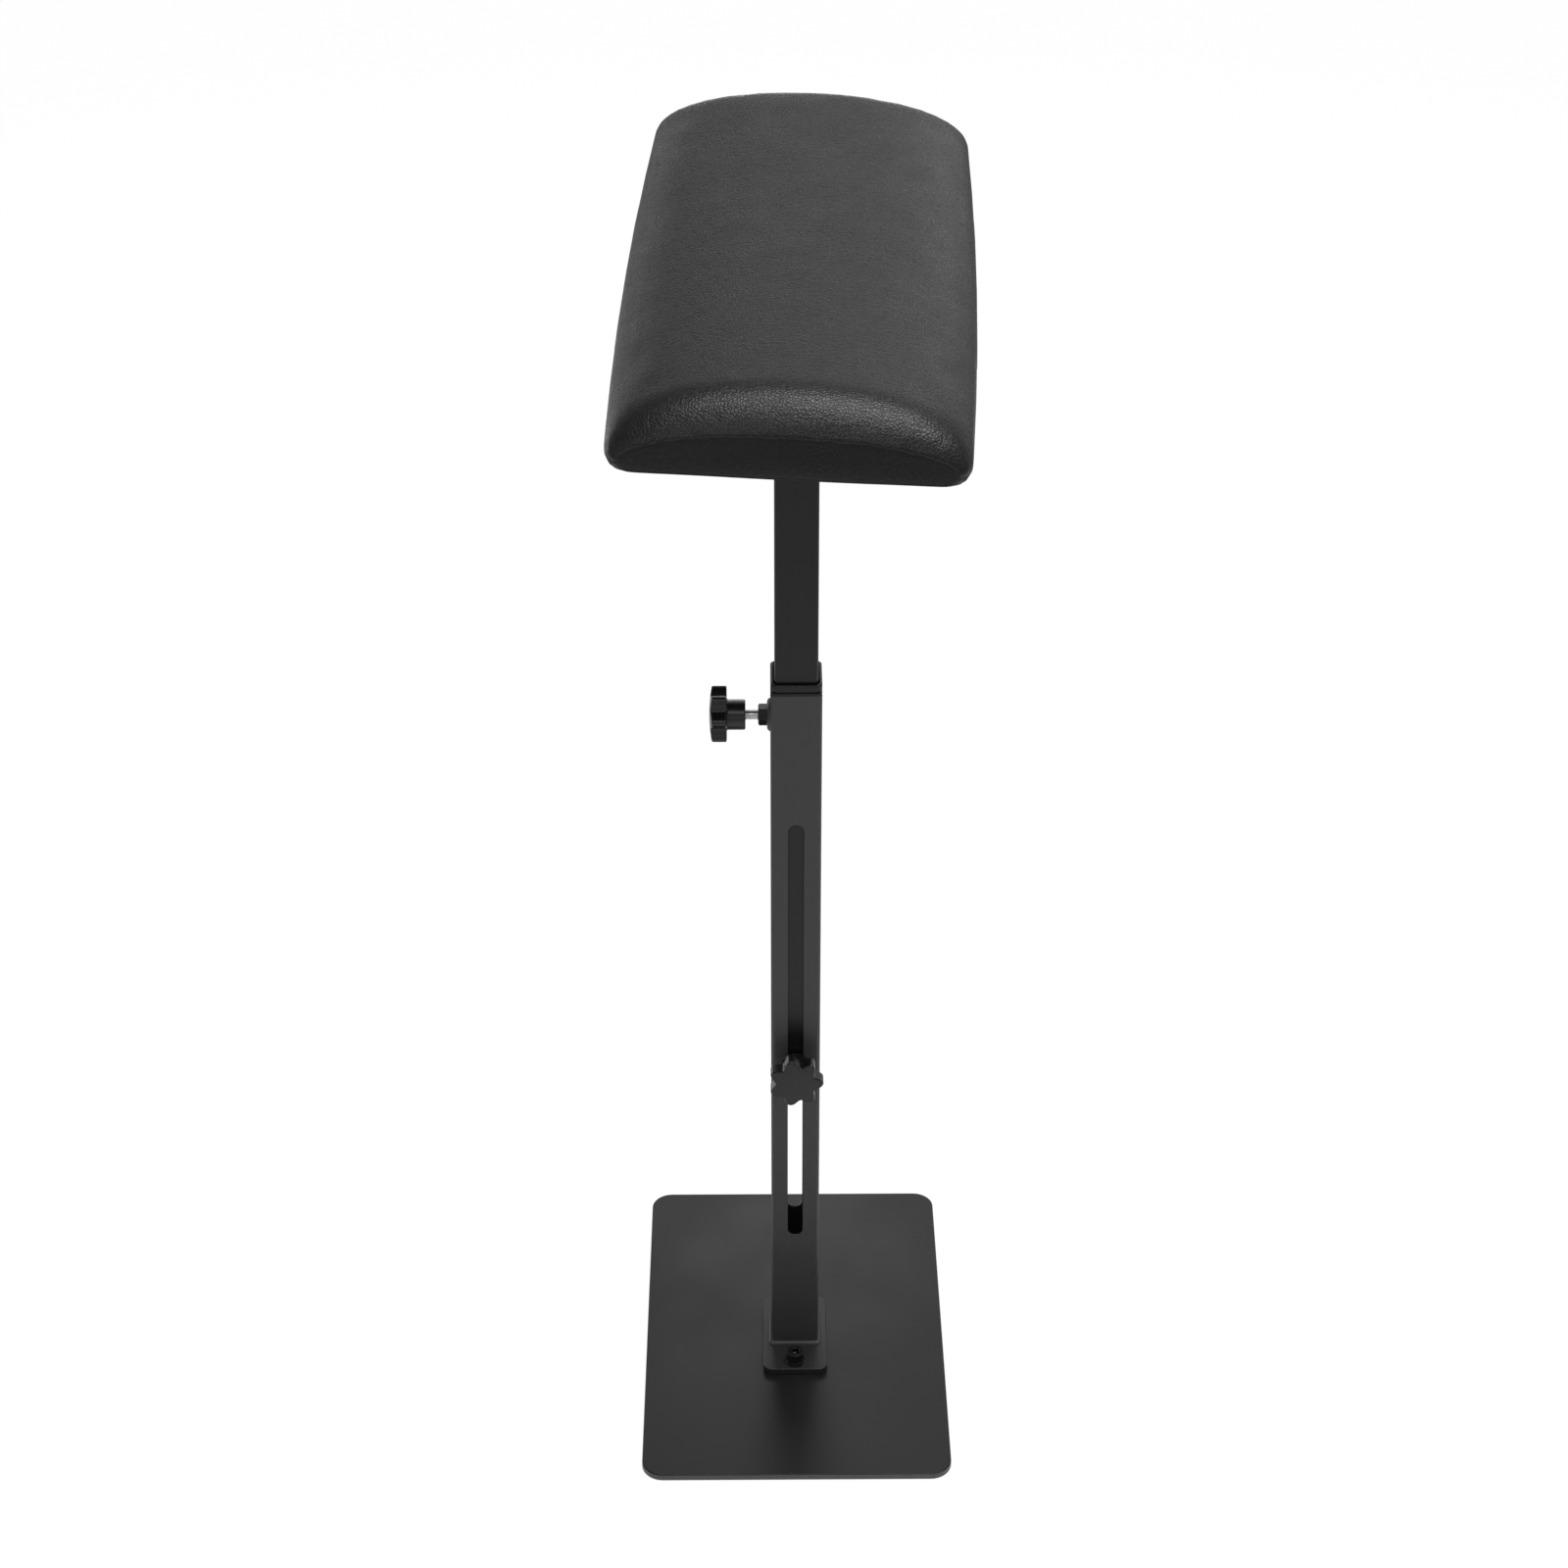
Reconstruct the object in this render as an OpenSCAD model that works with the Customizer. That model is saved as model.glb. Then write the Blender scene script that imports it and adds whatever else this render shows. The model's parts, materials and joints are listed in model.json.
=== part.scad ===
// Arm rest stand for a tattoo studio: a domed pad on a telescoping square mast
// with two clamp knobs, a swivelling and tilting head, and a flat steel base.
// Millimetres, +Z up, front towards -Y. The origin is on the floor, on the axis
// of the square tubes.

/* [Base plate] */
// Width of the base plate
base_w = 245; // [180:1:340]
// Depth of the base plate
base_l = 352; // [240:1:460]
// Thickness of the base plate
base_t = 6; // [4:0.5:12]
// Corner radius of the base plate
base_corner = 17; // [6:0.5:40]
// How far the middle of the plate lies behind the tubes
base_shift = 8.6; // [0:0.2:30]
// Thickness of the anti-slip mat under the plate
mat_t = 2; // [1:0.5:5]
// How far the mat stays inside the plate's edge
mat_inset = 4; // [2:0.5:15]

/* [Foot flange] */
// Width of the flange
flange_w = 52; // [48:0.5:90]
// Thickness of the flange
flange_t = 6; // [4:0.5:12]
// Flange in front of the tube
flange_front = 32; // [24:0.5:60]
// Flange behind the tube
flange_rear = 20; // [20:0.5:60]
// Corner radius of the flange
flange_corner = 7; // [2:0.5:12]
// Distance from the flange's end to its screw
flange_hole_edge = 9.3; // [8.5:0.1:10]
// Leg of the weld beads
weld_leg = 2.5; // [1.5:0.1:2.8]

/* [Outer tube] */
// Width of the outer tube
outer_w = 38; // [37:0.5:42]
// Wall of both tubes
tube_wall = 1.5; // [1.2:0.1:1.6]
// Corner radius of the outer tube
outer_corner = 3; // [2:0.1:5]
// Length of the outer tube
outer_len = 615.5; // [560:0.5:800]
// Width of the slot
slot_w = 12; // [10:0.5:14]
// Length of the slot
slot_len = 391; // [340:1:440]
// Height of the slot's lower end above the tube's foot
slot_low = 114; // [60:1:140]

/* [Top bush] */
// Depth of the bush's sleeve inside the tube
bush_depth = 17; // [8:0.5:17.5]
// Height of each of the bush's lower lip and groove
bush_step = 2.3; // [1:0.1:4]
// Height of the bush's upper lip
bush_lip = 4.6; // [2:0.1:8]
// Depth of the bush's groove
bush_groove = 1.2; // [0.3:0.1:1.2]
// Chamfer of the bush's upper lip
bush_chamfer = 1; // [0.4:0.1:1.8]

/* [Mast] */
// Width of the mast tube
mast_w = 32; // [31:0.5:33]
// Corner radius of the mast tube
mast_corner = 2.5; // [1.8:0.1:4]
// Length of the mast tube
mast_len = 589; // [520:1:680]
// Height of the front stud above the floor as photographed
clamp_height = 299; // [200:1:440]
// Height of the front stud above the mast's lower end
clamp_from_foot = 27; // [26:0.5:60]
// Length of the foot plug inside the mast
plug_body = 14; // [8:0.5:15]
// Height of the foot plug's sliding head
plug_head = 4; // [2:0.5:10]

/* [Clamp knobs] */
// Radius of the clamp studs
stud_r = 4; // [3:0.1:4]
// Number of lobes on a star knob
knob_lobes = 7; // [5:1:9]
// Mean radius of the star
knob_mean_r = 18.6; // [16:0.1:19]
// Height of the lobes above and below that mean
knob_wave = 2.8; // [1:0.1:3.2]
// Thickness of the star
knob_head = 13; // [8:0.5:16]
// Radius of the sphere that crowns the star's face
knob_crown_r = 115; // [80:1:300]
// Radius of the knob's hub
hub_r = 11.3; // [9:0.1:13]
// Length of the knob's hub
hub_len = 13.7; // [8:0.1:18]
// Depth of the stud inside the knob
stud_grip = 16; // [8:0.5:20]
// Radius of the knobs' washers
washer_r = 10; // [8:0.1:11]
// Thickness of the knobs' washers
washer_t = 1.6; // [1:0.1:2.5]
// Distance of the side stud below the tube's top
side_drop = 26; // [24:0.5:60]
// Bare length of the side stud between nut and knob
side_bare = 9.3; // [6:0.1:14]
// Length of the side weld nut
side_nut_t = 9; // [6:0.5:14]
// Turn of the side weld nut about its stud, where 30 leaves a flat on top
side_nut_turn = 30; // [0:1:60]
// Turn of the side knob at rest, where 180 leaves a lobe at the bottom
side_knob_turn = 180; // [0:1:360]
// Height of the bead round the side weld nut
side_bead_t = 2.5; // [1:0.1:4]
// Outer radius of that bead where it meets the tube
side_bead_r = 12.3; // [11:0.1:14]
// Width across the flats of the weld nuts
nut_af = 14; // [13:0.5:15]
// Thickness of the front and tilt weld nuts
nut_t = 6.5; // [5:0.5:7]

/* [Foot screws] */
// Radius of the screws
screw_r = 4; // [3:0.1:4.2]
// Radius of the screw heads
screw_head_r = 6.5; // [6:0.1:7]
// Height of the screw heads
screw_head_t = 8; // [6:0.1:10]
// Width across the flats of the hexagon sockets
socket_af = 6; // [5:0.1:7]
// Depth of the hexagon sockets
socket_depth = 4; // [2:0.1:5]
// Radius of the washers under the heads
screw_washer_r = 7.4; // [7:0.1:7.5]
// Thickness of the spring washers
spring_washer_t = 2; // [1:0.1:3]
// Thickness of the flat washers
flat_washer_t = 1.6; // [1:0.1:3]

/* [Swivel head] */
// Sideways lean of the head on the mast, in degrees
head_lean = 2; // [0:0.1:4]
// Turn of the head on the mast, clockwise from above, in degrees
head_turn = 2.5; // [0:0.1:20]
// Width of the cap plate on the mast
cap_w = 46; // [42:0.5:52]
// Thickness of the cap plate
cap_t = 5; // [4:0.5:8]
// Radius of the swivel bolt
swivel_r = 5; // [4:0.1:5]
// Width across the flats of the swivel bolt's head and nut
swivel_af = 17; // [15:0.5:17.5]
// Height of the swivel bolt's head
swivel_head_t = 6.4; // [5:0.1:7]
// Thickness of the swivel bolt's nut
swivel_nut_t = 8; // [6:0.5:12]
// Radius of the plastic swivel washer
glide_r = 20; // [14:0.5:22]
// Thickness of the plastic swivel washer
glide_t = 1.5; // [1:0.1:3]
// Width of the swivel bracket over its ears
bracket_w = 44; // [42:0.5:50]
// Depth of the swivel bracket
bracket_l = 44; // [36:0.5:44]
// Thickness of the swivel bracket
bracket_t = 4; // [3:0.1:5]
// Height of the tilt axis above the mast's top
pivot_h = 34.5; // [33:0.5:44]
// Radius of the ears' round ends
ear_r = 15; // [12:0.5:18]

/* [Pad mounting] */
// Tilt of the pad, rear end up, in degrees
pad_tilt = 4; // [-30:0.5:30]
// Thickness of the friction washers between the ears
friction_t = 1; // [0.5:0.1:2]
// Radius of the friction washers
friction_r = 12; // [9:0.5:14]
// Thickness of the tilt yoke
yoke_t = 4; // [3:0.1:5]
// Depth of the tilt yoke's web
yoke_l = 60; // [40:1:76]
// Height of the pad's steel plate above the tilt axis
plate_rise = 30; // [26:0.5:40]
// Gap between the sides of the pad's steel plate and the folded leatherette
plate_gap = 3; // [2:0.5:13]
// Depth of the pad's steel plate
plate_l = 110; // [96:1:200]
// Thickness of the pad's steel plate
plate_t = 3; // [2:0.1:5]
// Distance of the pad screws from the plate's edges
plate_hole_edge = 15; // [10:0.5:20]
// Radius of the pad screws
pad_screw_r = 3; // [2.5:0.1:3.5]
// Radius of the pad screws' heads
pad_screw_head_r = 5.5; // [5:0.1:7]
// Height of the pad screws' heads
pad_screw_head_t = 3.5; // [2:0.1:5]
// Width across the flats of the pad screws' sockets
pad_socket_af = 4; // [3:0.1:5]

/* [Pad] */
// Length of the pad
pad_l = 490; // [420:1:560]
// Width of the pad at its middle
pad_w = 242; // [230:1:280]
// Height of the pad where its dome begins
pad_side = 18; // [17:0.5:30]
// Rise of the dome above that
pad_rise = 37.5; // [24:0.5:50]
// How much narrower each side is at the pad's ends
pad_draw = 4.8; // [0:0.1:8]
// Radius of the pad's bottom edges along its sides
pad_bottom_r = 12; // [6:0.5:14]
// Radius of the pad's edges round its end faces
pad_end_r = 14; // [8:0.5:17]
// Thickness of the leatherette
cover_t = 1.2; // [0.8:0.1:2]
// Distance of the board's edge from the pad's outline
board_margin = 18; // [17:0.5:30]
// Thickness of the board
board_t = 12; // [9:0.5:14]
// Width of the leatherette folded under the board
fold_w = 20; // [12:1:26]
// Thickness of the dust cover
dust_t = 0.8; // [0.5:0.1:2]
// How far the dust cover laps over the folded leatherette
dust_lap = 12; // [4:0.5:12]

/* [Hidden] */

// Smoothness of round parts, and of round parts inside a hull
$fn = 64;
hull_fn = 32;
// One overrun for every cut
over = 2;

// Clearances
slide_gap = 0.25;
press_gap = 0.1;
run_gap = 0.06;
soft_gap = 0.3;
touch_gap = 0.1;
hole_gap = 0.5;

// Small sizes of the turned parts
edge_break = 0.6;
spring_slit = 1.2;

// Points on each lobe of a star knob
star_steps = 12;

// Colours
black_powder = [0.13, 0.13, 0.14];
black_mast = [0.11, 0.11, 0.12];
black_oxide = [0.06, 0.06, 0.06];
black_plastic = [0.09, 0.09, 0.09];
black_leather = [0.12, 0.12, 0.12];
zinc = [0.72, 0.73, 0.74];
white_nylon = [0.88, 0.88, 0.85];
plywood = [0.76, 0.62, 0.42];
foam_grey = [0.55, 0.55, 0.56];
felt_black = [0.08, 0.08, 0.08];
rubber_black = [0.05, 0.05, 0.05];

// Heights above the floor
plate_top = mat_t + base_t;
tube_foot = plate_top + flange_t;
tube_top = tube_foot + outer_len;
slot_foot = tube_foot + slot_low;
side_z = tube_top - side_drop;
mast_foot = clamp_height - clamp_from_foot;
mast_top = mast_foot + mast_len;

// Sizes of the fits
outer_bore = outer_w - 2 * tube_wall;
mast_bore = mast_w - 2 * tube_wall;
outer_bore_corner = max(outer_corner - tube_wall, edge_break);
mast_bore_corner = max(mast_corner - tube_wall, edge_break);
stud_hole_r = stud_r + hole_gap;
weld_fillet = [[0, 0], [weld_leg, 0], [0, weld_leg]];
swivel_seat = cap_t + glide_t + bracket_t;
flange_len = flange_front + outer_w + flange_rear;
flange_mid = (flange_rear - flange_front) / 2;
foot_screw_ys = [-outer_w / 2 - flange_front + flange_hole_edge,
                 outer_w / 2 + flange_rear - flange_hole_edge];
washers_t = spring_washer_t + flat_washer_t;
ear_gap = bracket_w / 2 + friction_t;
yoke_half = ear_gap + yoke_t;
front_hub = outer_w / 2 + touch_gap + washer_t;
side_hub = outer_w / 2 + side_nut_t + side_bare;
tilt_hub = yoke_half + washer_t;
board_w = pad_w - 2 * board_margin;
board_l = pad_l - 2 * board_margin;
open_w = board_w - 2 * fold_w;
open_l = board_l - 2 * fold_w;
plate_w = open_w - 2 * plate_gap;
plate_hole_x = plate_w / 2 - plate_hole_edge;
plate_hole_y = plate_l / 2 - plate_hole_edge;
plate_seat = cover_t - dust_t;
pad_underside = plate_rise + plate_t - plate_seat;

// Sizes of the tee nuts
tee_flange_r = 9.5;
tee_flange_t = 1.5;
tee_barrel_r = 4;
tee_barrel_len = 8;

// Shape of the pad: stations round an end and points round a section
end_steps = 4;
middle_shares = [-1, -0.66, -0.33, 0, 0.33, 0.66, 1];
corner_steps = 3;
dome_steps = 18;
end_side_share = 0.8;
end_bottom_share = 0.35;

// Rectangle with rounded corners, centred
module round_square(w, l, r) {
    square([w - 2 * r, l], center = true);
    square([w, l - 2 * r], center = true);
    for (x = [-1, 1], y = [-1, 1]) translate([x * (w / 2 - r), y * (l / 2 - r)]) circle(r);
}

// Plate with rounded corners, from z = 0 up
module round_plate(w, l, t, r) linear_extrude(t) round_square(w, l, r);

// Square tube from z = 0 up
module square_tube(w, wall, corner, bore_corner, len) {
    difference() {
        round_plate(w, w, len, corner);
        translate([0, 0, -over]) round_plate(w - 2 * wall, w - 2 * wall, len + 2 * over, bore_corner);
    }
}

// Weld bead round a square tube. The bead's section has x away from the tube and y up it
module weld_ring(w, corner, bead) {
    straight = w - 2 * corner;
    for (turn = [0:90:270]) rotate([0, 0, turn]) {
        translate([-straight / 2, w / 2, 0]) rotate([90, 0, 90]) linear_extrude(straight) polygon(bead);
        translate([w / 2 - corner, w / 2 - corner, 0]) rotate_extrude(angle = 90)
            translate([corner, 0]) polygon(bead);
    }
}

// Round washer from z = 0 up
module washer(r, bore_r, t) {
    difference() {
        cylinder(t, r, r);
        translate([0, 0, -over]) cylinder(t + 2 * over, bore_r, bore_r);
    }
}

// Spring washer: a washer cut through on one side
module spring_washer(r, bore_r, t) {
    difference() {
        washer(r, bore_r, t);
        translate([0, -spring_slit / 2, -over]) cube([r + over, spring_slit, t + 2 * over]);
    }
}

// Hexagon prism from z = 0 up, measured across its flats
module hex_prism(af, t) cylinder(t, af / 2 / cos(30), af / 2 / cos(30), $fn = 6);

// Hexagon nut with a plain bore
module hex_nut(af, t, bore_r) {
    difference() {
        hex_prism(af, t);
        translate([0, 0, -over]) cylinder(t + 2 * over, bore_r, bore_r);
    }
}

// Stud with broken edges from z = 0 up
module stud(r, len) {
    rotate_extrude() polygon([[0, 0], [r - edge_break, 0], [r, edge_break], [r, len - edge_break],
                              [r - edge_break, len], [0, len]]);
}

// Outline of the star: a wave round a circle
function star(mid, wave, lobes, steps) =
    [for (i = [0:lobes * steps - 1]) let (a = 360 * i / (lobes * steps), r = mid + wave * cos(lobes * a))
        [r * cos(a), r * sin(a)]];

// Star knob: its hub starts at z = 0, and its blind hole takes the stud
module star_knob() {
    difference() {
        union() {
            rotate_extrude() polygon([[0, 0], [hub_r - edge_break, 0], [hub_r, edge_break],
                                      [hub_r, hub_len], [0, hub_len]]);
            intersection() {
                translate([0, 0, hub_len]) linear_extrude(knob_head)
                    polygon(star(knob_mean_r, knob_wave, knob_lobes, star_steps));
                translate([0, 0, hub_len + knob_head - knob_crown_r]) sphere(knob_crown_r, $fn = 128);
            }
        }
        translate([0, 0, -over]) cylinder(stud_grip + touch_gap + over, stud_r + run_gap, stud_r + run_gap);
    }
}

// Places of the clamp studs: z runs outwards from the tubes' axis
module on_left() translate([0, 0, side_z]) rotate([0, -90, 0]) children();
module on_front() translate([0, 0, clamp_height]) rotate([90, 0, 0]) children();

// Places in the head, each one carried by the one before
module at_head() translate([0, 0, mast_top]) rotate([0, head_lean, 0]) children();
module at_swivel() at_head() rotate([0, 0, -head_turn]) children();
module at_pivot() at_swivel() translate([0, 0, pivot_h]) rotate([pad_tilt, 0, 0]) children();
module at_pad() at_pivot() translate([0, 0, pad_underside]) children();
module on_tilt() at_pivot() rotate([0, -90, 0]) children();

// Base

module floor_mat() {
    color(rubber_black) translate([0, base_shift, 0])
        round_plate(base_w - 2 * mat_inset, base_l - 2 * mat_inset, mat_t, base_corner - mat_inset);
}

module base_plate() {
    color(black_powder) difference() {
        translate([0, base_shift, mat_t]) round_plate(base_w, base_l, base_t, base_corner);
        for (y = foot_screw_ys) translate([0, y, mat_t - over])
            cylinder(base_t + 2 * over, screw_r + run_gap, screw_r + run_gap);
    }
}

module foot_flange() {
    color(black_powder) difference() {
        translate([0, flange_mid, plate_top]) round_plate(flange_w, flange_len, flange_t, flange_corner);
        for (y = foot_screw_ys) translate([0, y, plate_top - over])
            cylinder(flange_t + 2 * over, screw_r + hole_gap, screw_r + hole_gap);
    }
}

module foot_weld() {
    color(black_powder) translate([0, 0, tube_foot]) weld_ring(outer_w, outer_corner, weld_fillet);
}

module foot_screw() {
    difference() {
        union() {
            translate([0, 0, -washers_t - flange_t - base_t + touch_gap])
                stud(screw_r, washers_t + flange_t + base_t + edge_break);
            rotate_extrude() polygon([[0, 0], [screw_head_r, 0], [screw_head_r, screw_head_t - edge_break],
                                      [screw_head_r - edge_break, screw_head_t], [0, screw_head_t]]);
        }
        translate([0, 0, screw_head_t - socket_depth]) hex_prism(socket_af, socket_depth + over);
    }
}

module foot_screws() {
    color(black_oxide) for (y = foot_screw_ys) translate([0, y, tube_foot + washers_t]) foot_screw();
}

module foot_spring_washers() {
    color(black_oxide) for (y = foot_screw_ys) translate([0, y, tube_foot + flat_washer_t])
        spring_washer(screw_washer_r, screw_r + run_gap, spring_washer_t);
}

module foot_flat_washers() {
    color(black_oxide) for (y = foot_screw_ys) translate([0, y, tube_foot])
        washer(screw_washer_r, screw_r + run_gap, flat_washer_t);
}

// Outer tube

module slot_cut() {
    half = slot_w / 2;
    for (z = [half, slot_len - half]) translate([0, outer_w / 2 + over, slot_foot + z]) rotate([90, 0, 0])
        cylinder(outer_w + 2 * over, half, half);
    translate([-half, -outer_w / 2 - over, slot_foot + half])
        cube([slot_w, outer_w + 2 * over, slot_len - slot_w]);
}

module outer_tube() {
    color(black_powder) difference() {
        translate([0, 0, tube_foot]) square_tube(outer_w, tube_wall, outer_corner, outer_bore_corner, outer_len);
        slot_cut();
        on_left() cylinder(outer_w / 2 + over, stud_hole_r, stud_hole_r);
    }
}

module tube_bush() {
    sleeve = outer_bore - 2 * press_gap;
    bore = mast_w + 2 * slide_gap;
    bore_corner = mast_corner + slide_gap;
    neck = outer_w - 2 * bush_groove;
    collar = 2 * bush_step + bush_lip;
    color(black_plastic) translate([0, 0, tube_top]) difference() {
        union() {
            translate([0, 0, -bush_depth]) round_plate(sleeve, sleeve, bush_depth, outer_bore_corner);
            round_plate(outer_w, outer_w, bush_step, outer_corner);
            translate([0, 0, bush_step]) round_plate(neck, neck, bush_step, outer_corner);
            translate([0, 0, 2 * bush_step])
                round_plate(outer_w, outer_w, bush_lip - bush_chamfer, outer_corner);
            translate([0, 0, collar - bush_chamfer]) hull() {
                round_plate(outer_w, outer_w, bush_chamfer / 4, outer_corner, $fn = hull_fn);
                round_plate(outer_w - 2 * bush_chamfer, outer_w - 2 * bush_chamfer, bush_chamfer,
                            outer_corner - bush_chamfer / 2, $fn = hull_fn);
            }
        }
        translate([0, 0, -bush_depth - over])
            round_plate(bore, bore, bush_depth + collar + 2 * over, bore_corner);
    }
}

module side_weld_nut() {
    color(black_powder) on_left() translate([0, 0, outer_w / 2]) rotate(side_nut_turn)
        hex_nut(nut_af, side_nut_t, stud_r + run_gap);
}

module side_nut_weld() {
    color(black_powder) on_left() translate([0, 0, outer_w / 2]) difference() {
        cylinder(side_bead_t, side_bead_r, nut_af / 2 / cos(30) + edge_break);
        translate([0, 0, -over]) rotate(side_nut_turn) hex_prism(nut_af, side_bead_t + 2 * over);
    }
}

module side_stud() {
    tip = mast_w / 2 + touch_gap;
    color(zinc) on_left() translate([0, 0, tip]) stud(stud_r, side_hub + stud_grip - tip);
}

module side_knob() {
    color(black_plastic) on_left() translate([0, 0, side_hub]) rotate(side_knob_turn) star_knob();
}

// Mast

// Block that cuts the mast and its weld off square to the leaning head
module above_head() {
    at_head() translate([-cap_w, -cap_w, 0]) cube([2 * cap_w, 2 * cap_w, 2 * cap_t]);
}

module mast_tube() {
    color(black_mast) difference() {
        translate([0, 0, mast_foot])
            square_tube(mast_w, tube_wall, mast_corner, mast_bore_corner, mast_len + over);
        above_head();
        on_front() cylinder(mast_w / 2 + over, stud_hole_r, stud_hole_r);
    }
}

module mast_foot_plug() {
    body = mast_bore - 2 * press_gap;
    head = outer_bore - 2 * slide_gap;
    color(black_plastic) translate([0, 0, mast_foot]) {
        round_plate(body, body, plug_body, mast_bore_corner);
        translate([0, 0, -plug_head]) round_plate(head, head, plug_head, outer_bore_corner + slide_gap);
    }
}

module clamp_weld_nut() {
    color(zinc) on_front() translate([0, 0, mast_bore / 2 - nut_t]) hex_nut(nut_af, nut_t, stud_r + run_gap);
}

module mast_cap_plate() {
    color(black_powder) at_head() difference() {
        round_plate(cap_w, cap_w, cap_t, flange_corner);
        translate([0, 0, -over]) cylinder(cap_t + 2 * over, swivel_r + hole_gap, swivel_r + hole_gap);
    }
}

module mast_cap_weld() {
    rise = mast_w * tan(head_lean) + touch_gap;
    bead = [[0, -rise], [weld_leg, -rise], [weld_leg, 0], [0, weld_leg]];
    color(black_powder) difference() {
        translate([0, 0, mast_top]) mirror([0, 0, 1]) weld_ring(mast_w, mast_corner, bead);
        above_head();
    }
}

module swivel_nut() {
    color(zinc) at_head() translate([0, 0, -swivel_nut_t]) hex_nut(swivel_af, swivel_nut_t, swivel_r + run_gap);
}

module swivel_bolt() {
    head_z = swivel_seat + washers_t;
    color(zinc) at_head() {
        translate([0, 0, -swivel_nut_t]) stud(swivel_r, head_z + swivel_nut_t + edge_break);
        translate([0, 0, head_z]) hex_prism(swivel_af, swivel_head_t);
    }
}

module swivel_flat_washer() {
    color(zinc) at_head() translate([0, 0, swivel_seat]) washer(washer_r, swivel_r + run_gap, flat_washer_t);
}

module swivel_spring_washer() {
    color(zinc) at_head() translate([0, 0, swivel_seat + flat_washer_t])
        spring_washer(swivel_af / 2, swivel_r + run_gap, spring_washer_t);
}

// Front clamp

module front_stud() {
    tip = mast_bore / 2 - nut_t - spring_washer_t;
    color(zinc) on_front() translate([0, 0, tip]) stud(stud_r, front_hub + stud_grip - tip);
}

module front_washer() {
    color(zinc) on_front() translate([0, 0, outer_w / 2 + touch_gap]) washer(washer_r, stud_r + run_gap, washer_t);
}

module front_knob() {
    color(black_plastic) on_front() translate([0, 0, front_hub]) star_knob();
}

// Swivel bracket: a base with two ears that carry the tilt stud

module swivel_glide_washer() {
    color(white_nylon) at_swivel() translate([0, 0, cap_t]) washer(glide_r, swivel_r + run_gap, glide_t);
}

// Ear in the plane of Y and Z with its round end at the tilt axis, reaching to z = reach
module ear(width, reach, t) {
    rotate([90, 0, 90]) linear_extrude(t) {
        circle(ear_r);
        translate([-width / 2, min(reach, 0)]) square([width, abs(reach)]);
    }
}

module swivel_bracket() {
    foot = cap_t + glide_t;
    color(black_powder) at_swivel() difference() {
        union() {
            translate([-bracket_w / 2, -bracket_l / 2, foot]) cube([bracket_w, bracket_l, bracket_t]);
            for (side = [-1, 1]) translate([side * (bracket_w - bracket_t) / 2 - bracket_t / 2, 0, pivot_h])
                ear(2 * ear_r, foot - pivot_h, bracket_t);
        }
        translate([0, 0, foot - over]) cylinder(bracket_t + 2 * over, swivel_r + run_gap, swivel_r + run_gap);
        translate([-bracket_w / 2 - over, 0, pivot_h]) rotate([0, 90, 0])
            cylinder(bracket_w + 2 * over, stud_r + run_gap, stud_r + run_gap);
    }
}

module friction_washers() {
    color(white_nylon) for (x = [-ear_gap, bracket_w / 2]) at_pivot() translate([x, 0, 0]) rotate([0, 90, 0])
        washer(friction_r, stud_r + run_gap, friction_t);
}

// Tilt yoke: a web under the pad's plate with two ears outside the bracket

module tilt_yoke() {
    web_h = plate_rise - yoke_t;
    color(black_powder) at_pivot() difference() {
        union() {
            translate([-yoke_half, -yoke_l / 2, web_h]) cube([2 * yoke_half, yoke_l, yoke_t]);
            for (side = [-1, 1]) translate([side * (ear_gap + yoke_t / 2) - yoke_t / 2, 0, 0])
                ear(2 * ear_r, web_h + yoke_t, yoke_t);
        }
        translate([-yoke_half - over, 0, 0]) rotate([0, 90, 0])
            cylinder(2 * yoke_half + 2 * over, stud_r + run_gap, stud_r + run_gap);
    }
}

module yoke_welds() {
    color(black_powder) at_pivot() for (end = [0, 1]) mirror([0, end, 0])
        translate([yoke_half, yoke_l / 2, plate_rise]) rotate([90, 0, -90])
            linear_extrude(2 * yoke_half) polygon([[0, 0], [-weld_leg, 0], [0, -weld_leg]]);
}

module tilt_weld_nut() {
    color(black_powder) on_tilt() translate([0, 0, -yoke_half - nut_t]) hex_nut(nut_af, nut_t, stud_r + run_gap);
}

module tilt_stud() {
    tip = -yoke_half - nut_t - spring_washer_t;
    color(zinc) on_tilt() translate([0, 0, tip]) stud(stud_r, tilt_hub + stud_grip - tip);
}

module tilt_washer() {
    color(zinc) on_tilt() translate([0, 0, yoke_half]) washer(washer_r, stud_r + run_gap, washer_t);
}

module tilt_knob() {
    color(black_plastic) on_tilt() translate([0, 0, tilt_hub]) star_knob();
}

// Pad

// Four places of the pad's screws
module at_pad_screws() {
    for (x = [-plate_hole_x, plate_hole_x], y = [-plate_hole_y, plate_hole_y]) translate([x, y, 0]) children();
}

module pad_plate() {
    color(black_powder) at_pad() translate([0, 0, plate_seat - plate_t]) difference() {
        round_plate(plate_w, plate_l, plate_t, flange_corner);
        at_pad_screws() translate([0, 0, -over])
            cylinder(plate_t + 2 * over, pad_screw_r + hole_gap, pad_screw_r + hole_gap);
    }
}

module pad_screws() {
    seat = plate_seat - plate_t;
    shank = cover_t + board_t - seat;
    color(zinc) at_pad() at_pad_screws() translate([0, 0, seat]) {
        translate([0, 0, -edge_break]) stud(pad_screw_r, shank + edge_break);
        difference() {
            rotate_extrude() polygon([[0, 0], [pad_screw_head_r, 0], [pad_screw_head_r, -pad_screw_head_t / 2],
                                      [pad_screw_head_r / 2, -pad_screw_head_t], [0, -pad_screw_head_t]]);
            translate([0, 0, -pad_screw_head_t - over])
                hex_prism(pad_socket_af, pad_screw_head_t / 2 + over);
        }
    }
}

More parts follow.
